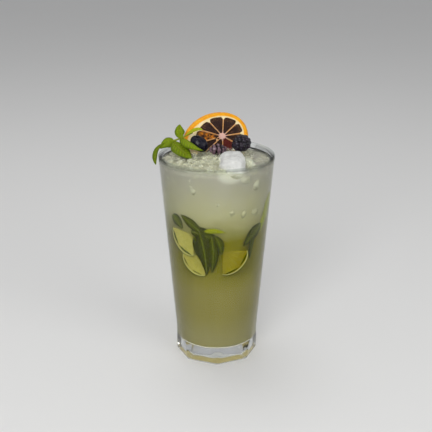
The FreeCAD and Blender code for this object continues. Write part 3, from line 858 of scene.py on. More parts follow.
def chip_skin(random, middle, size, turn):
    """One chip of ice: a ball of three six-sided rings, each point moved in or out."""
    around = 6
    angle = np.linspace(0, 2 * math.pi, around, endpoint=False)
    polar = np.array([0.28, 0.5, 0.72])[:, None] * math.pi
    bulge = 1 + random.uniform(-0.24, 0.24, (3, around))
    rings = np.stack([np.sin(polar) * np.cos(angle) * bulge, np.sin(polar) * np.sin(angle) * bulge,
                      np.cos(polar) * np.ones(around) * bulge], -1)
    ends = np.array([[0, 0, 0.9], [0, 0, -0.9]])
    rings = (rings * size) @ turn.T + middle
    ends = (ends * size) @ turn.T + middle
    return closed_tube(rings, ends[0], ends[1])


def random_turn(random):
    """A rotation about z, then x, then z again, each by a random angle."""
    return (turn_matrix("z", random.uniform(0, 2 * math.pi))
            @ turn_matrix("x", random.uniform(0, math.pi))
            @ turn_matrix("z", random.uniform(0, 2 * math.pi)))


def loose_chips(glass, ice):
    """Chips scattered over the heap, smaller and lower where the drink lies open."""
    random = np.random.default_rng(11)
    wall = bore_radius(glass, LEVEL)
    chips = []
    while len(chips) < ice.chips:
        radius = wall * math.sqrt(random.uniform(0, 1))
        turn = random.uniform(-math.pi, math.pi)
        x, y = radius * math.cos(turn), radius * math.sin(turn)
        half = random.uniform(1.1, 2.8) * MM
        reach = float(ice_reach(glass, ice, np.array([turn]))[0])
        if radius + half > wall - 0.2 * MM:
            continue
        if radius < reach:
            height = float(ice_surface(glass, ice, np.array([x]), np.array([y]))[0])
            height -= half * random.uniform(0.4, 1.1)
        else:
            height = LEVEL - half * random.uniform(0.35, 0.95)
        size = half * random.uniform(0.65, 1.25, 3)
        chips.append(chip_skin(random, np.array([x, y, height]), size, random_turn(random)))
    for _ in range(ice.heaped):
        up = random.uniform(0, 1)
        x = ice.heap_right + random.uniform(-6, 5) * (1.1 - 0.5 * up) * MM
        y = -ice.heap_front + random.uniform(-11, 11) * (1.1 - 0.5 * up) * MM
        size = random.uniform(0.8, 2.0, 3) * MM
        spot = np.array([x, y, LEVEL + (0.3 + 4.6 * up) * MM])
        chips.append(chip_skin(random, spot, size, random_turn(random)))
    return chips


def bed_material(ice):
    """Wet crushed ice: grey-green, speckled with white, shiny."""
    look = Shader("wet_ice_bed")
    speck = look.noise(900.0, 3.0, 0.65).step(0.50, 0.70)
    broad = look.noise(180.0, 3.0, 0.6).step(0.35, 0.70)
    tint = look.mix(broad, tuple(item * 0.72 for item in ice.bed), ice.bed)
    tint = look.mix(speck * 0.55, tint, ice.speck)
    relief = look.bump(look.noise(1100.0, 4.0, 0.7), 0.7, 0.5 * MM)
    return look.finish(look.surface(
        Base_Color=tint, Roughness=0.22, IOR=1.33, Normal=relief,
        Subsurface_Weight=0.3, Subsurface_Radius=(1.0, 1.0, 0.8), Subsurface_Scale=2 * MM))


def chip_material(ice):
    """Clear wet ice with a little frost on it."""
    look = Shader("ice_chip")
    return look.finish(look.surface(
        Base_Color=ice.clear, Roughness=0.08, IOR=1.31, Transmission_Weight=0.92))


class DRINK_OT_crushed_ice(bpy.types.Operator):
    """Build the crushed ice: a packed bed and loose chips"""
    bl_idname = "drink.crushed_ice"
    bl_label = "Crushed ice"

    def execute(self, context):
        glass, ice = context.scene.tumbler, context.scene.ice
        bed = make_piece("ice_bed", [ice_bed_skin(glass, ice)], bed_material(ice))
        chips = make_piece("ice_chips", loose_chips(glass, ice), chip_material(ice), flat=True)
        chips.visible_shadow = False
        for piece in (bed, chips):
            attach(piece, "root")
            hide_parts("crushed_ice")
        return {"FINISHED"}


def lump_skin():
    """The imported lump: a rounded block, dented by four sizes of noise."""
    around, levels = 200, 130
    middle = np.array((LUMP_LOW + LUMP_HIGH) / 2)
    half = np.array((LUMP_HIGH - LUMP_LOW) / 2)
    ways = globe_ways(levels, around)
    reach = block_reach(ways, half, 3.2)
    spot = ways * reach[..., None] / MM
    x, y, z = spot[..., 0], spot[..., 1], spot[..., 2]
    dents = (0.75 + 0.95 * value_noise(x / 5.5, y / 5.5, z / 5.0, 27)
             + 0.65 * np.abs(value_noise(x / 2.6, y / 2.6, z / 2.6, 22))
             + 0.22 * value_noise(x / 1.0, y / 1.0, z / 1.0, 23)
             + 0.08 * value_noise(x / 0.45, y / 0.45, z / 0.45, 24))
    rings = middle + ways * (reach - (dents + 0.30) * MM)[..., None]
    inner = np.array([0, 0, half[2] - 1.0 * MM])
    return closed_tube(rings, middle + inner, middle - inner)


def lump_material(ice):
    """Packed ice: white, faintly blue in its hollows, with a sparkle of grain."""
    look = Shader("packed_ice")
    grain = look.noise(1300.0, 3.0, 0.7)
    broad = look.noise(220.0, 2.0, 0.5)
    tint = look.mix(broad.step(0.35, 0.65), tuple(item * 0.86 for item in ice.white), ice.white)
    relief = look.bump(grain, 0.5, 0.35 * MM)
    return look.finish(look.surface(
        Base_Color=tint, Roughness=0.30 + grain * 0.2, IOR=1.31, Normal=relief,
        Subsurface_Weight=0.5, Subsurface_Radius=(1.0, 1.0, 1.0), Subsurface_Scale=2.5 * MM))


class DRINK_OT_ice_lump(bpy.types.Operator):
    """Build the white lump of packed ice"""
    bl_idname = "drink.ice_lump"
    bl_label = "Ice lump"

    def execute(self, context):
        ice = context.scene.ice
        piece = make_piece("white_lump", [lump_skin()], lump_material(ice))
        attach(piece, "root")
        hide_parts("ice_lump")
        return {"FINISHED"}


# --------------------------------------------------------- the orange slice

# Directions of the membranes round the slice's core, in degrees, unevenly spaced as in
# a real fruit.
MEMBRANES = (4, 35, 75, 122, 158, 191, 215, 258, 324)

# Middles of the slice's ovals and of its core, in mm across and up its own plane.
WIDE_MIDDLE = (-1.5, -1.5)
FRONT_MIDDLE = (-2.6, -2.1)
FLESH_MIDDLE = (0.7, -0.8)
HUB = (3.3, -0.4)


def oval_share(x, y, middle, long, short, tilt):
    """How far out a point is in a tilted oval: 0 in its middle, 1 on its edge.

    The point is turned into the oval's own axes, where its two shares of the long and
    the short radius are the sides of a right angle.
    """
    across, up = x - middle[0] * MM, y - middle[1] * MM
    first = across * math.cos(tilt) + up * math.sin(tilt)
    second = up * math.cos(tilt) - across * math.sin(tilt)
    return np.hypot(first / long, second / short)


def slice_marks(settings, x, y):
    """Where the flesh and the membranes are on a face.

    Returns the two masks between 0 and 1, how far out each point is in the flesh's
    oval, its direction from the core in degrees, and its distance from the core.
    """
    across, up = x - HUB[0] * MM, y - HUB[1] * MM
    away = np.hypot(across, up)
    turn = np.degrees(np.arctan2(up, across)) % 360
    wobble = value_noise(np.cos(np.radians(turn)) * 3.5, np.sin(np.radians(turn)) * 3.5, 0 * x, 8)
    out = oval_share(x, y, FLESH_MIDDLE, settings.flesh_long, settings.flesh_short, settings.tilt)
    out = out / (1 + 0.03 * wobble)
    apart = np.abs((turn[..., None] - np.array(MEMBRANES, float) + 180) % 360 - 180)
    beside = np.radians(apart.min(-1)) * away
    half = (0.30 + 0.010 * away / MM + 0.10 * wobble) * MM
    membrane = 1 - smooth_step(half * 0.6, half * 1.6, beside)
    core = 1 - smooth_step(2.1 * MM, 3.1 * MM, away + 0.5 * MM * wobble)
    rounded = 1 - 0.13 * (1 - smooth_step(0.0, 2.6 * MM, beside)) ** 2
    inside = 1 - smooth_step(rounded - 0.02, rounded + 0.015, out)
    membrane = np.maximum(membrane, core) * inside
    return inside * (1 - membrane), membrane, out, turn, away


def slice_skin(settings):
    """The slice: front face, slanting rind and back face, with sunk flesh on both faces.

    Each ring is a tilted oval: a share of the front oval, then of ovals that widen by a
    sine down the rind, then of the widest one.  The flesh lies lower by its mask, the
    membranes a little higher, and the whole slice is warped by a sine of twice the turn.
    """
    around, steps = 340, 96
    turn = np.linspace(0, 2 * math.pi, around, endpoint=False)
    face = np.sqrt(np.linspace(0, 1, steps + 1)[1:, None])
    bend = np.linspace(0, 1, 30)[1:-1, None]
    deep = settings.thickness
    # For each ring: its size within its oval, where it lies from the front oval (0) to
    # the widest one (1), and its depth.
    size = np.concatenate([face, np.ones_like(bend), face[::-1]])
    widen = np.concatenate([0 * face, np.sin(bend * math.pi / 2) ** 0.8, 1 + 0 * face])
    depth = np.concatenate([0 * face, -deep * bend ** 1.15, -deep + 0 * face])
    long = settings.front_long + (settings.wide_long - settings.front_long) * widen
    short = settings.front_short + (settings.wide_short - settings.front_short) * widen
    first, second = size * long * np.cos(turn), size * short * np.sin(turn)
    cos, sin = math.cos(settings.tilt), math.sin(settings.tilt)
    middle = [(a + (b - a) * widen) * MM for a, b in zip(FRONT_MIDDLE, WIDE_MIDDLE)]
    x = middle[0] + first * cos - second * sin
    y = middle[1] + first * sin + second * cos
    z = depth * np.ones_like(x)
    rows = len(size)
    order = np.arange(rows)[:, None] * np.ones_like(x)
    is_front, is_back = 1.0 * (order < steps), 1.0 * (order >= rows - steps)
    rind = 1 - is_front - is_back
    flesh, membrane, out, angle, away = slice_marks(settings, x, y)
    fibre = value_noise(np.cos(np.radians(angle)) * 30, np.sin(np.radians(angle)) * 30,
                        away / (3.0 * MM), 31)
    fine = value_noise(x / (0.5 * MM), y / (0.5 * MM), 0 * x, 32)
    sunk = settings.sink * flesh * (1 + 0.35 * fibre + 0.25 * fine)
    z = z - (sunk - 0.2 * MM * membrane) * (is_front - is_back)
    dimples = value_noise(x / (1.1 * MM), y / (1.1 * MM), z / (1.1 * MM), 33)
    swell = 1 + rind * 0.006 * dimples
    x, y = x * swell, y * swell
    spread = np.hypot(x, y) / settings.wide_long
    z = z + 0.7 * MM * spread ** 2 * np.sin(2 * turn + 0.5)
    z = z - 0.4 * MM * smooth_step(0.95, 1.0, size) * is_front
    pose = turn_matrix("z", settings.turn) @ turn_matrix("x", math.pi / 2 - settings.lean)
    place = np.array([settings.right, settings.back, RIM + settings.rise])
    rings = np.stack([x, y, z], -1) @ pose.T + place
    ends = np.array([[FRONT_MIDDLE[0] * MM, FRONT_MIDDLE[1] * MM, 0],
                     [WIDE_MIDDLE[0] * MM, WIDE_MIDDLE[1] * MM, -deep]]) @ pose.T + place
    peel = is_front * smooth_step(0.90, 0.995, size) + is_back * smooth_step(0.88, 0.96, size)
    on_face = 1 - rind
    return closed_tube(rings, ends[0], ends[1], flesh=flesh * on_face, membrane=membrane * on_face,
                       rind=rind + peel * on_face, out=out, angle=angle / 360, away=away / MM,
                       fibre=fibre)


def slice_material(settings):
    """Dried orange: glossy orange rind, creamy pith, golden membranes, dark dried flesh."""
    look = Shader("dried_orange")
    rind, flesh = look.attribute("rind"), look.attribute("flesh")
    membrane, out = look.attribute("membrane"), look.attribute("out")
    angle, away = look.attribute("angle"), look.attribute("away")
    fibre = look.attribute("fibre")
    blotch = look.noise(260.0, 4.0, 0.6)
    fine = look.noise(1100.0, 3.0, 0.7)
    rind_tint = look.mix(blotch.step(0.35, 0.70), settings.rind, settings.rind_light)
    rind_tint = look.mix(fine.step(0.55, 0.8) * 0.4, rind_tint, settings.rind_pore)
    pith_tint = look.mix(blotch.step(0.35, 0.70), settings.pith, settings.pith_light)
    pith_tint = look.mix(rind.step(0.02, 0.75), pith_tint, settings.pith_edge)
    flesh_tint = look.mix(fibre.step(0.35, 0.75) * fine.step(0.35, 0.65), settings.flesh,
                          settings.fibre)
    flesh_tint = look.mix(out.step(0.75, 1.0) * fine.step(0.45, 0.7) * 0.7, flesh_tint,
                          settings.dry_edge)
    # The amber segment and the red ones are picked by their direction, in whole turns.
    amber = angle.step(0.44, 0.452) * (1 - angle.step(0.522, 0.528)) * (1 - out.step(0.75, 1.0))
    flesh_tint = look.mix(amber * blotch.step(0.40, 0.60) * 0.9, flesh_tint, settings.amber)
    red = angle.step(0.73, 0.74) * (1 - angle.step(0.89, 0.9))
    flesh_tint = look.mix(red * 0.6, flesh_tint, settings.red)
    membrane_tint = look.mix(blotch.step(0.4, 0.65), settings.membrane, settings.membrane_light)
    membrane_tint = look.mix(1 - away.step(2.0, 5.5), membrane_tint, settings.hub)
    tint = look.mix(flesh.step(0.1, 0.7), pith_tint, flesh_tint)
    tint = look.mix(membrane.step(0.15, 0.7), tint, membrane_tint)
    tint = look.mix(rind.step(0.55, 0.95), tint, rind_tint)
    relief = look.bump(fine, 0.45, 0.25 * MM)
    return look.finish(look.surface(
        Base_Color=tint, Roughness=0.55 - rind * 0.12, Specular_IOR_Level=0.2, Normal=relief,
        Subsurface_Weight=0.08, Subsurface_Radius=(1.0, 0.5, 0.2), Subsurface_Scale=1.0 * MM))


class DRINK_OT_orange_slice(bpy.types.Operator):
    """Build the dried orange slice"""
    bl_idname = "drink.orange_slice"
    bl_label = "Orange slice"

    def execute(self, context):
        settings = context.scene.orange
        piece = make_piece("dried_slice", [slice_skin(settings)], slice_material(settings))
        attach(piece, "root")
        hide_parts("orange_slice")
        return {"FINISHED"}


# ------------------------------------------------------------- the berries

# The way that each berry's long axis points.
SMOOTH_WAY = (12.4, -3.0, -8.6)
BUMPY_WAY = (13.5, 4.0, 2.4)
SMALL_WAY = (13.0, 3.0, -0.4)


def smooth_berry_skin(settings, middle):
    """Long smooth berry: an egg with faint creases and a hollow where the stalk was.

    The hollow falls off as an exponential of the distance from the end, with a raised
    bell-shaped ring round it.
    """
    ways = globe_ways(110, 150)
    half = (settings.smooth_girth / 2, settings.smooth_girth / 2, settings.smooth_length / 2)
    reach = block_reach(ways, np.array(half) * 0.985, 2)
    end = ways[..., 2]
    hollow = (0.9 * MM * np.exp(-(1 - end) / 0.020)
              - 0.28 * MM * np.exp(-((1 - end - 0.045) / 0.02) ** 2))
    spot = ways * 3
    crease = value_noise(spot[..., 0], spot[..., 1], spot[..., 2] * 0.6, 41)
    fine = value_noise(spot[..., 0] * 4, spot[..., 1] * 4, spot[..., 2] * 3, 42)
    reach = reach - hollow + (0.22 * (crease - 1) + 0.05 * fine) * MM
    pose = frame_along(SMOOTH_WAY)
    rings = (ways * reach[..., None]) @ pose.T + middle
    top = reach[0].mean() * pose[:, 2] + middle
    bottom = -reach[-1].mean() * pose[:, 2] + middle
    return closed_tube(rings, top, bottom, hollow=np.exp(-((1 - end) / 0.03)))


def bead_middles(rows, half_girth, half_length, seed):
    """Places and sizes of the beads, in even rows from pole to pole, each a little off."""
    random = np.random.default_rng(seed)
    places = []
    for row in range(rows):
        polar = math.pi * (row + 0.5) / rows
        number = max(1, round(2 * rows * math.sin(polar) * 1.02))
        turns = 2 * math.pi * (np.arange(number) + 0.5 * (row % 2)) / number
        turns = turns + random.uniform(-0.12, 0.12, number)
        polars = polar + random.uniform(-0.06, 0.06, number)
        places.append(np.stack([half_girth * np.sin(polars) * np.cos(turns),
                                half_girth * np.sin(polars) * np.sin(turns),
                                half_length * np.cos(polars)], -1))
    places = np.concatenate(places)
    places = places * random.uniform(0.95, 1.03, (len(places), 1))
    return places, random.uniform(0.80, 1.12, len(places))


def bumpy_berry_skin(girth, long, rows, way, middle, seed, dusty):
    """A berry of beads: in each direction, the bead that reaches furthest shows.

    A bead is a ball, so it reaches as far as its middle lies ahead, plus the root of its
    radius squared less its middle's distance aside, squared.
    """
    bead = math.pi * girth / rows / 3.25
    inner = np.array([girth / 2 - 0.95 * bead, girth / 2 - 0.95 * bead, long / 2 - 0.95 * bead])
    places, sizes = bead_middles(rows, inner[0], inner[2], seed)
    ways = globe_ways(170, 230)
    best = block_reach(ways, inner, 2)
    which = np.zeros_like(best)
    for number, (place, size) in enumerate(zip(places, sizes)):
        ahead = ways @ place
        aside = place @ place - ahead ** 2
        depth = (bead * size) ** 2 - aside
        reach = np.where((ahead > 0) & (depth > 0), ahead + np.sqrt(np.maximum(depth, 0)), 0)
        which = np.where(reach > best, number, which)
        best = np.maximum(best, reach)
    outline = block_reach(ways, np.array([girth, girth, long]) / 2, 2)
    best = np.minimum(best, outline * 1.015)
    gap = smooth_step(0.80, 0.97, best / outline)
    pose = frame_along(way)
    rings = (ways * best[..., None]) @ pose.T + middle
    top = best[0].mean() * pose[:, 2] + middle
    bottom = -best[-1].mean() * pose[:, 2] + middle
    return closed_tube(rings, top, bottom, raised=gap, bead=(which * 0.618) % 1.0,
                       dusty=0 * best + dusty)


def smooth_berry_material(settings):
    """Blue-black skin with a dusty bloom that is rubbed off in places."""
    look = Shader("smooth_berry_skin")
    dust = look.noise(260.0, 4.0, 0.6).step(0.48, 0.78)
    tint = look.mix(dust * 0.08, settings.skin, settings.bloom_and_sheen)
    tint = look.mix(look.attribute("hollow").step(0.2, 0.8), tint, settings.stalk_end)
    relief = look.bump(look.noise(900.0, 3.0), 0.25, 0.2 * MM)
    return look.finish(look.surface(
        Base_Color=tint, Roughness=0.24 + dust * 0.30, Specular_IOR_Level=0.22, Normal=relief,
        Coat_Weight=0.05, Coat_Roughness=0.08))


def bumpy_berry_material(settings):
    """Purple-black beads: wet and shiny, with dusty bloom and painted sheen on top, dull and in
    painted shade between.
    """
    look = Shader("bumpy_berry_beads")
    raised = look.attribute("raised")
    bead = look.attribute("bead")
    dust = look.noise(420.0, 4.0, 0.6).step(0.50, 0.78)
    base = look.mix(bead, settings.skin, settings.bead)
    # Dusty bloom and painted sheen on the tops of the beads.
    tint = look.mix(dust * raised * 0.25, base, settings.bloom_and_sheen)
    tint = look.mix(look.attribute("dusty") * 0.8, tint, settings.dusty)
    # Painted shade between the beads.
    tint = look.mix(1 - raised, tint, settings.between)
    relief = look.bump(look.noise(1400.0, 3.0), 0.35, 0.2 * MM)
    return look.finish(look.surface(
        Base_Color=tint, Roughness=0.18 + dust * 0.25, Specular_IOR_Level=0.28, Normal=relief,
        Coat_Weight=0.15, Coat_Roughness=0.06))


class DRINK_OT_berries(bpy.types.Operator):
    """Build the three dark berries"""
    bl_idname = "drink.berries"
    bl_label = "Berries"

    def execute(self, context):
        settings = context.scene.berries
        beads = bumpy_berry_material(settings)
        smooth_middle = np.array([settings.smooth_right, settings.smooth_back,
                                  RIM + settings.smooth_rise])
        piece = make_piece("smooth_dark_berry", [smooth_berry_skin(settings, smooth_middle)],
                           smooth_berry_material(settings))
        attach(piece, "root")
        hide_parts("smooth_berry")
        for name, node, girth, long, rows, way, low, high, seed, dusty in (
                ("bumpy_dark_berry", "bumpy_berry", settings.bumpy_girth, settings.bumpy_length,
                 6, BUMPY_WAY, BUMPY_LOW, BUMPY_HIGH, 51, 0.0),
                ("small_dark_berry", "low_berry", settings.small_girth, settings.small_length,
                 5, SMALL_WAY, SMALL_LOW, SMALL_HIGH, 52, 1.0)):
            middle = np.array((low + high) / 2)
            skin = bumpy_berry_skin(girth * 0.98, long * 0.98, rows, way, middle, seed, dusty)
            piece = make_piece(name, [skin], beads)
            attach(piece, "root")
            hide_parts(node)
        return {"FINISHED"}


# ----------------------------------------------------------------- the mint

# Veins on each side of a leaf's midrib.
VEINS = 9

# Least thickness of a leaf.
LEAF_EDGE = 0.12 * MM


def leaf_half_width(along, width, widest, teeth):
    """Half a leaf's width on its way from stem to tip.

    A sine whose peak is moved to widest by a power, cut by a saw of two teeth a vein.
    """
    bend = along ** (math.log(0.5) / math.log(widest))
    half = width / 2 * np.sin(math.pi * bend) ** 0.8
    saw = (along * VEINS * 2) % 1.0
    return half * (1 - teeth * saw * smooth_step(0.08, 0.25, along))


def leaf_relief(u, v, half, width, long, seed):
    """Veins, puffs and height over the blade, for u along it and v across from -1 to 1.

    A vein leaves the midrib at each step and runs out and forward; the skin between two
    veins is puffed up by half a sine, the midrib lies lower, and noise roughens both.
    """
    slant = 0.55 * np.abs(v) * half / long * 2
    phase = ((u - slant) * VEINS) % 1.0
    vein = 1 - smooth_step(0.0, 0.16, np.minimum(phase, 1 - phase))
    vein = vein * (1 - 0.45 * np.abs(v))
    rib = 1 - smooth_step(0.03, 0.11, np.abs(v) * np.maximum(half / (width / 2), 0.3))
    puff = np.sin(np.pi * phase) * (1 - np.abs(v) ** 3) * (1 - rib)
    rough = value_noise(u * 30, v * 6 + 40, 0 * u, 60 + seed)
    wave = value_noise(u * 4 + seed, v * 1.2, 0 * u, 90 + seed)
    height = width * (0.055 * puff - 0.05 * rib + 0.022 * rough + 0.05 * wave * np.abs(v))
    return np.maximum(vein * 0.75, rib), puff, height


def leaf_skin(thickness, width, points, facing, cup=0.25, widest=0.42, teeth=0.05, seed=0,
              shade=0.0):
    """A mint leaf: a thin toothed blade along a curve, with raised skin between its veins.

    Each station is a line across the curve, square to facing, of the leaf's width there;
    cup lifts its two edges by a square, and its thickness falls to the edges by a power.
    """
    stations, across = 72, 26
    along = np.linspace(0, 1, stations + 2)[1:-1]
    middle, way = curve(points, along)
    side = unit(np.cross(way, np.asarray(facing, float)))
    up = unit(np.cross(side, way))
    half = leaf_half_width(along, width, widest, teeth)[:, None]
    u, v = np.meshgrid(along, np.linspace(-1, 1, across), indexing="ij")
    start, end = np.asarray(points[0], float), np.asarray(points[2], float)
    vein, puff, height = leaf_relief(u, v, half, width, np.linalg.norm(end - start), seed)
    lift = cup * half * v ** 2 + height
    blade = middle[:, None] + side[:, None] * (half * v)[..., None]
    body = thickness / 2 * (1 - 0.7 * np.abs(v) ** 4) * smooth_step(0, 0.04, half / (width / 2))
    body = np.maximum(body, LEAF_EDGE / 2)
    upper = blade + up[:, None] * (lift + body)[..., None]
    lower = blade + up[:, None] * (lift - body)[..., None]
    rings = np.concatenate([upper, lower[:, ::-1]], axis=1)

    def both(value, under):
        """Values over the upper side, then back over the lower one."""
        return np.concatenate([value, under[:, ::-1]], axis=1)

    # The underside carries half the puff, so more painted shade falls on it.
    return closed_tube(rings, start, end, vein=both(vein, vein), puff=both(puff, puff * 0.5),
                       shade=np.full((stations, 2 * across), shade))


def stem_skin(points, radius, end_radius):
    """A round stem along a curve: its radius falls evenly, plus two swells of a cosine."""
    stations, around = 40, 16
    along = np.linspace(0, 1, stations)
    middle, way = curve(points, along)
    side = unit(np.cross(way, np.array([0.0, 0.0, 1.0])))
    up = unit(np.cross(side, way))
    turn = np.linspace(0, 2 * math.pi, around, endpoint=False)
    size = radius + (end_radius - radius) * along + 0.12 * radius * np.cos(along * 4 * math.pi)
    ring = side[:, None] * np.cos(turn)[:, None] + up[:, None] * np.sin(turn)[:, None]
    rings = middle[:, None] + ring * size[:, None, None]
    start = middle[0] - way[0] * radius * 0.3
    end = middle[-1] + way[-1] * end_radius * 0.5
    ones = np.ones((stations, around))
    return closed_tube(rings, start, end, vein=ones, puff=0 * ones, shade=0 * ones)


def by_rim(glass, inset, back, rise):
    """A place counted from the left of the rim: inwards, to the back, up, in mm."""
    return np.array([-glass.rim_radius + inset * MM, back * MM, RIM + rise * MM])


def sprig_skins(glass, mint):
    """The sprig: a stem and six leaves, each its own skin."""
    def at(inset, back, rise):
        """A place counted from the left of the rim."""
        return by_rim(glass, inset, back, rise)

    line = (at(10.5, 10.5, 6.4), at(16.5, 7.0, 9.6), at(25.5, 4.6, 14.6))
    joints, _ = curve(line, np.array([0.05, 0.5, 0.72]))
    low, middle, high = joints
    thin = mint.thickness
    return [
        stem_skin(line, mint.stem, mint.stem * 0.6),
        leaf_skin(thin, 7.8 * MM, (middle, at(14.6, 6.4, 15.0), at(16.2, 7.6, 20.2)),
                  (0.2, -1.0, 0.35), seed=1, shade=0.05),
        leaf_skin(thin, 4.6 * MM, (high, at(29.0, 2.6, 18.4), at(33.2, 1.0, 17.7)),
                  (-0.25, -0.45, 1.0), cup=0.4, seed=2, shade=-0.8),
        leaf_skin(thin, 10.0 * MM, (low, at(6.0, 10.4, 8.2), at(0.9, 8.6, 1.2)),
                  (-0.25, -0.75, 1.0), cup=-0.3, seed=3, shade=0.2),
        leaf_skin(thin, 5.4 * MM, (low, at(-5.0, 9.5, 5.1), at(-2.4, 5.8, -10.6)),
                  (-0.75, -0.75, 0.3), widest=0.74, seed=4, shade=0.85),
        leaf_skin(thin, 7.6 * MM, (middle, at(20.2, -8.0, 9.2), at(33.3, -12.0, 5.2)),
                  (0.1, -0.55, 1.0), cup=-0.2, seed=5, shade=0.25),
        leaf_skin(thin, 12.2 * MM, (low, at(13.0, 1.0, 4.4), at(25.3, -13.2, -0.2)),
                  (-0.1, -0.25, 1.0), cup=-0.1, widest=0.55, seed=6, shade=0.35),
    ]


def mint_material(name, fresh, deep, bright, vein_colour, shine):
    """Leaf: fresh green, with painted shade in its hollows and on its underside, pale veins, a soft
    sheen.

    The shade attribute darkens a leaf above 0 and brightens it below.
    """
    look = Shader(name)
    vein = look.attribute("vein")
    puff = look.attribute("puff")
    shade = look.attribute("shade")
    mottle = look.noise(420.0, 4.0, 0.6)
    # Painted shade: the hollows between the puffs, and the underside, take the deep colour.
    tint = look.mix(puff.step(0.1, 0.9), deep, fresh)
    tint = look.mix(mottle.step(0.35, 0.75) * 0.4, tint, tuple(item * 0.75 for item in fresh))
    tint = look.mix(shade * 0.85, tint, deep)
    tint = look.mix(1 - shade.step(-1.0, 0.0), tint, bright)
    tint = look.mix(vein * 0.55, tint, vein_colour)
    relief = look.bump(look.noise(900.0, 3.0, 0.6), 0.5, 0.35 * MM)
    return look.finish(look.surface(
        Base_Color=tint, Roughness=0.48, Specular_IOR_Level=shine, Normal=relief,
        Subsurface_Weight=0.12, Subsurface_Radius=(0.5, 1.0, 0.1), Subsurface_Scale=0.8 * MM))


class DRINK_OT_mint(bpy.types.Operator):
    """Build the mint sprig over the rim"""
    bl_idname = "drink.mint"
    bl_label = "Mint sprig"

    def execute(self, context):
        glass, mint = context.scene.tumbler, context.scene.mint
        look = mint_material("fresh_mint", mint.fresh, mint.deep, mint.bright, mint.vein, 0.10)
        piece = make_piece("mint_leaves", sprig_skins(glass, mint), look)
        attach(piece, "root")
        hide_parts("mint_sprig")
        return {"FINISHED"}


# -------------------------------------------------- what is sunk in the drink

def on_wall(glass, turn, height, depth):
    """A place inside the wall: degrees round from the front, height and depth in mm.

    Returns the place, the way out to the wall and the way round to the right.
    """
    angle = math.radians(turn)
    out = np.array([math.sin(angle), -math.cos(angle), 0.0])
    right = np.array([math.cos(angle), math.sin(angle), 0.0])
    radius = float(bore_radius(glass, height * MM)) - depth * MM
    return out * radius + np.array([0, 0, height * MM]), out, right


def sunk_leaf(glass, mint, start, pull, end, width, roll, shade, seed):
    """A leaf that bends with the wall; start, pull and end are (degrees round, height, depth).

    It faces the wall at pull, rolled towards the right.
    """
    points = [on_wall(glass, *spot)[0] for spot in (start, pull, end)]
    _, out, right = on_wall(glass, *pull)
    facing = out * math.cos(roll) + right * math.sin(roll)
    return leaf_skin(mint.thickness * 0.8, width * MM, points, facing, cup=-0.14, teeth=0.06,
                     seed=seed, shade=shade)


def sunk_mint_skins(glass, mint):
    """Mint leaves muddled into the drink, pressed near the wall."""
    specs = (
        # start, pull, end, width, roll, shade
        ((-58, 119, 1.1), (-50, 117, 0.8), (-42, 111, 1.2), 8.5, 0.2, 0.0),
        ((-19, 111, 1.2), (-31, 117, 0.8), (-43, 122, 0.9), 7.0, 0.2, 0.25),
        ((-31, 110, 1.7), (-14, 110, 1.3), (2, 103, 1.8), 11.0, -0.2, 0.55),
        ((-14, 111.5, 0.7), (-3, 113, 0.6), (10, 110.8, 0.8), 4.2, 0.3, -0.45),
        ((-20, 110, 1.5), (-14, 99, 0.9), (-12, 76, 1.2), 11.0, 0.1, 0.75),
        ((-6, 108, 1.3), (-2, 95, 0.9), (-6, 78, 1.2), 8.5, -0.2, 0.45),
        ((-2, 108, 1.6), (5, 101, 1.2), (6, 93, 1.8), 7.5, 0.3, 0.45),
        ((-27, 106, 1.9), (-20, 96, 1.5), (-17, 86, 1.9), 8.0, 0.2, 0.8),
        ((75, 134, 0.9), (76, 121, 0.6), (56, 105, 1.0), 11.0, 0.0, -0.5),
        ((60, 112, 1.0), (47, 106, 0.7), (33, 98, 1.2), 9.5, 0.0, 0.35),
        ((48, 105, 1.4), (45, 96, 1.1), (44, 86, 1.5), 5.5, 0.3, 0.55),
    )
    return [sunk_leaf(glass, mint, *spec, 20 + number) for number, spec in enumerate(specs)]


def wedge_skin(lime, middle, out, right, spin, open_angle, radius, deep, dip, pale):
    """A lime wedge seen on its cut face: a sector of a disc that thins towards its peel.

    The face lies square to out; spin turns it in its own plane, and the sector spans
    open_angle degrees either side of that; dip sinks its point deeper than its peel.
    Its back bulges by the root of one less the square of the share of the radius.
    """
    steps, around = 46, 60
    turn = np.radians(np.linspace(-open_angle, open_angle, around))
    part = np.linspace(0, 1, steps)[:, None]
    corner = 1 - 0.05 * np.abs(turn / turn.max()) ** 6
    away = radius * part * corner
    x, y = away * np.cos(turn), away * np.sin(turn)
    inner = 1 - smooth_step(1 - 2.6 * lime.peel / radius, 1 - lime.peel / radius, part)
    cell = np.abs((turn / math.radians(20)) % 1.0 - 0.5) * 2
    web = smooth_step(0.80, 0.97, cell) * inner
    juice = value_noise(turn * 16 + 0 * x, part * 7 + 0 * x, 0 * x, 71)
    sink = (0.35 * (1 - web) * inner + 0.12 * juice * inner) * MM
    z_front = -sink - dip * (1 - part) ** 1.4
    bulge = np.sqrt(np.clip(1 - part ** 2, 0, 1)) * (1 - 0.3 * np.abs(turn / turn.max()) ** 2)
    z_back = z_front - 0.6 * MM - deep * bulge
    up = np.cross(out, right)
    angle = math.radians(spin)
    first = right * math.cos(angle) + up * math.sin(angle)
    second = -right * math.sin(angle) + up * math.cos(angle)

    def placed(z):
        """Points of the wedge, at a height over its cut face."""
        return middle + x[..., None] * first + y[..., None] * second + z[..., None] * out

    front, back = placed(z_front), placed(z_back)
    rings = np.concatenate([front, back[:, ::-1]], axis=1)[1:]

    def both(value):
        """Values over the cut face, then back over the peel."""
        value = np.broadcast_to(value, x.shape)
        return np.concatenate([value, value[:, ::-1]], axis=1)[1:]

    peel = smooth_step(1 - lime.peel / radius, 1 - 0.35 * lime.peel / radius, part)
    start = middle - out * (dip + deep / 2)
    return closed_tube(rings, start, rings[-1].mean(0), web=both(web), peel=both(peel),
                       pale=both(0 * x + pale))


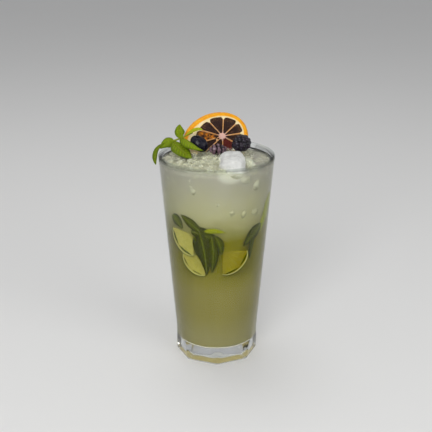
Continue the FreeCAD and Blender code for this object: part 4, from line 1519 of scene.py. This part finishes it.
def lime_material(lime):
    """Lime: olive flesh with pale webs, pale pith and dark peel at the edge."""
    look = Shader("lime_wedge")
    web = look.attribute("web")
    peel = look.attribute("peel")
    grain = look.noise(500.0, 3.0, 0.6)
    flesh = look.mix(look.attribute("pale"), lime.flesh, lime.pale)
    tint = look.mix(grain.step(0.3, 0.75) * 0.35, flesh, tuple(item * 0.6 for item in lime.flesh))
    tint = look.mix(web * 0.12, tint, lime.pith)
    tint = look.mix(peel.step(0.05, 0.35), tint, lime.pith)
    tint = look.mix(peel.step(0.80, 0.97), tint, lime.rind)
    return look.finish(look.surface(
        Base_Color=tint, Roughness=0.5, Specular_IOR_Level=0.05,
        Subsurface_Weight=0.15, Subsurface_Radius=(1.0, 1.0, 0.2), Subsurface_Scale=2 * MM))


def lime_skins(glass, lime):
    """Three lime wedges against the wall: left, lower left and right."""
    specs = (
        # degrees round, height, depth, spin, half angle, radius, thickness, dip, paleness
        (-31.0, 107.0, 1.9, -137.0, 52.0, 17.5, 7.0, 1.6, 1.0),
        (-17.0, 91.0, 2.5, -132.0, 46.0, 17.0, 6.0, 1.4, 0.7),
        (8.0, 95.0, 1.2, -47.0, 45.0, 19.5, 7.0, 2.0, 0.0),
    )
    skins = []
    for turn, height, depth, spin, half_angle, radius, deep, dip, pale in specs:
        middle, out, right = on_wall(glass, turn, height, depth)
        skins.append(wedge_skin(lime, middle, out, right, spin, half_angle, radius * MM,
                                deep * MM, dip * MM, pale))
    return skins


def sunk_chips(glass, ice):
    """Ice that shows faintly through the wall in the upper half of the drink."""
    random = np.random.default_rng(17)
    chips = []
    for _ in range(ice.sunk):
        turn = random.uniform(-180, 180)
        height = random.uniform(123, 151)
        half = random.uniform(2.5, 6.5) * MM
        middle, _, _ = on_wall(glass, turn, height, half / MM * 0.85 + random.uniform(1.2, 1.7))
        size = half * random.uniform(0.7, 1.1, 3)
        chips.append(chip_skin(random, middle, size, random_turn(random)))
    return chips


def sunk_ice_material(ice):
    """Ice under the surface: pale and soft-edged."""
    look = Shader("sunk_ice")
    patches = look.noise(300.0, 3.0, 0.6)
    level = look.axis("Z").step(0.112, 0.150)
    tint = look.mix(level, ice.sunk_low, ice.sunk_high)
    tint = look.mix(patches.step(0.3, 0.7) * 0.3, tint, ice.sunk_patch)
    return look.finish(look.surface(
        Base_Color=tint, Roughness=0.5, Specular_IOR_Level=0.1,
        Subsurface_Weight=0.4, Subsurface_Radius=(1.0, 1.0, 0.8), Subsurface_Scale=3 * MM))


class DRINK_OT_sunk_pieces(bpy.types.Operator):
    """Build the lime, mint and ice that are sunk in the drink"""
    bl_idname = "drink.sunk_pieces"
    bl_label = "Sunk pieces"

    def execute(self, context):
        scene = context.scene
        glass, mint, lime, ice = scene.tumbler, scene.mint, scene.lime, scene.ice
        green = mint_material("sunk_mint", mint.sunk_fresh, mint.sunk_deep, mint.bright,
                              mint.sunk_vein, 0.02)
        leaves = make_piece("sunk_mint", sunk_mint_skins(glass, mint), green)
        wedges = make_piece("lime_wedges", lime_skins(glass, lime), lime_material(lime))
        chips = make_piece("sunk_ice", sunk_chips(glass, ice), sunk_ice_material(ice))
        for piece, slot in ((leaves, "mint"), (wedges, "citrus"), (chips, "wet_ice")):
            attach(piece, "root")
        return {"FINISHED"}


# ------------------------------------------------------------------ the stage

# How far the floor lies below the foot.
FLOOR_GAP = 0.05 * MM


def area_light(name, place, target, size, power):
    """A square soft light that looks at a target."""
    data = bpy.data.lights.new(name, "AREA")
    data.shape = "SQUARE"
    data.size = size
    data.energy = power
    light = bpy.data.objects.new(name, data)
    light.location = place
    way = np.asarray(target, float) - np.asarray(place, float)
    light.rotation_euler = (math.atan2(math.hypot(way[0], way[1]), -way[2]), 0.0,
                            math.atan2(-way[0], way[1]))
    bpy.context.scene.collection.objects.link(light)


class DRINK_OT_stage(bpy.types.Operator):
    """Build the floor, the lights and the camera"""
    bl_idname = "drink.stage"
    bl_label = "Stage"

    def execute(self, context):
        scene, stage = context.scene, context.scene.stage
        look = Shader("plain_floor")
        tint = look.mix(look.noise(3.0, 2.0) * 0.08, stage.floor, stage.floor_drift)
        material = look.finish(look.surface(Base_Color=tint, Roughness=0.75))
        radius = stage.floor_radius * np.array([0.02, 0.1, 0.4, 1.0, 1.0])
        height = np.array([-FLOOR_GAP] * 4 + [-stage.floor_depth])
        floor = make_piece("floor", [lathe(radius, height, 96, -FLOOR_GAP)], material)

        world = bpy.data.worlds.new("studio")
        world.use_nodes = True
        sky = world.node_tree.nodes["Background"]
        sky.inputs["Color"].default_value = (*stage.sky, 1.0)
        sky.inputs["Strength"].default_value = stage.sky_strength
        scene.world = world
        scene.view_settings.view_transform = "Standard"

        middle = (0.0, 0.0, 0.10)
        area_light("key", (-0.35, -1.2, 0.80), middle, 0.7, stage.key)
        area_light("fill", (0.95, -0.85, 0.55), middle, 0.8, stage.fill)
        area_light("top", (-0.15, 0.35, 1.2), middle, 0.6, stage.top)

        data = bpy.data.cameras.new("camera")
        data.lens = stage.lens
        data.sensor_width = 36.0
        data.clip_start = 0.01
        camera = bpy.data.objects.new("camera", data)
        camera.location = (stage.aside, -stage.distance, stage.height)
        camera.rotation_euler = (math.pi / 2 - stage.pitch, 0.0, 0.0)
        scene.collection.objects.link(camera)
        scene.camera = camera
        return {"FINISHED"}


# ------------------------------------------------------------------ the add-on

class DRINK_PT_pieces(bpy.types.Panel):
    """List the operators that build the drink and its stage"""
    bl_label = "Iced mint drink"
    bl_idname = "DRINK_PT_pieces"
    bl_space_type = "VIEW_3D"
    bl_region_type = "UI"
    bl_category = "Drink"

    def draw(self, context):
        for operator in OPERATORS:
            self.layout.operator(operator.bl_idname)


SETTINGS = {
    "tumbler": TumblerSettings,
    "drink": DrinkSettings,
    "ice": IceSettings,
    "orange": SliceSettings,
    "berries": BerrySettings,
    "mint": MintSettings,
    "lime": LimeSettings,
    "stage": StageSettings,
}
OPERATORS = (DRINK_OT_tumbler, DRINK_OT_drink, DRINK_OT_crushed_ice, DRINK_OT_ice_lump,
             DRINK_OT_orange_slice, DRINK_OT_berries, DRINK_OT_mint, DRINK_OT_sunk_pieces,
             DRINK_OT_stage)


def register():
    """Registers the classes and puts each group of settings on the scene."""
    for group in SETTINGS.values():
        bpy.utils.register_class(group)
    for operator in OPERATORS:
        bpy.utils.register_class(operator)
    bpy.utils.register_class(DRINK_PT_pieces)
    for name, group in SETTINGS.items():
        setattr(bpy.types.Scene, name, PointerProperty(type=group))


def unregister():
    """Takes away what register added."""
    for name in SETTINGS:
        delattr(bpy.types.Scene, name)
    bpy.utils.unregister_class(DRINK_PT_pieces)
    for operator in reversed(OPERATORS):
        bpy.utils.unregister_class(operator)
    for group in reversed(SETTINGS.values()):
        bpy.utils.unregister_class(group)


def main():
    """Builds every piece in order."""
    register()
    bpy.ops.drink.tumbler()
    bpy.ops.drink.drink()
    bpy.ops.drink.crushed_ice()
    bpy.ops.drink.ice_lump()
    bpy.ops.drink.orange_slice()
    bpy.ops.drink.berries()
    bpy.ops.drink.mint()
    bpy.ops.drink.sunk_pieces()
    bpy.ops.drink.stage()


if __name__ == "__main__":
    main()
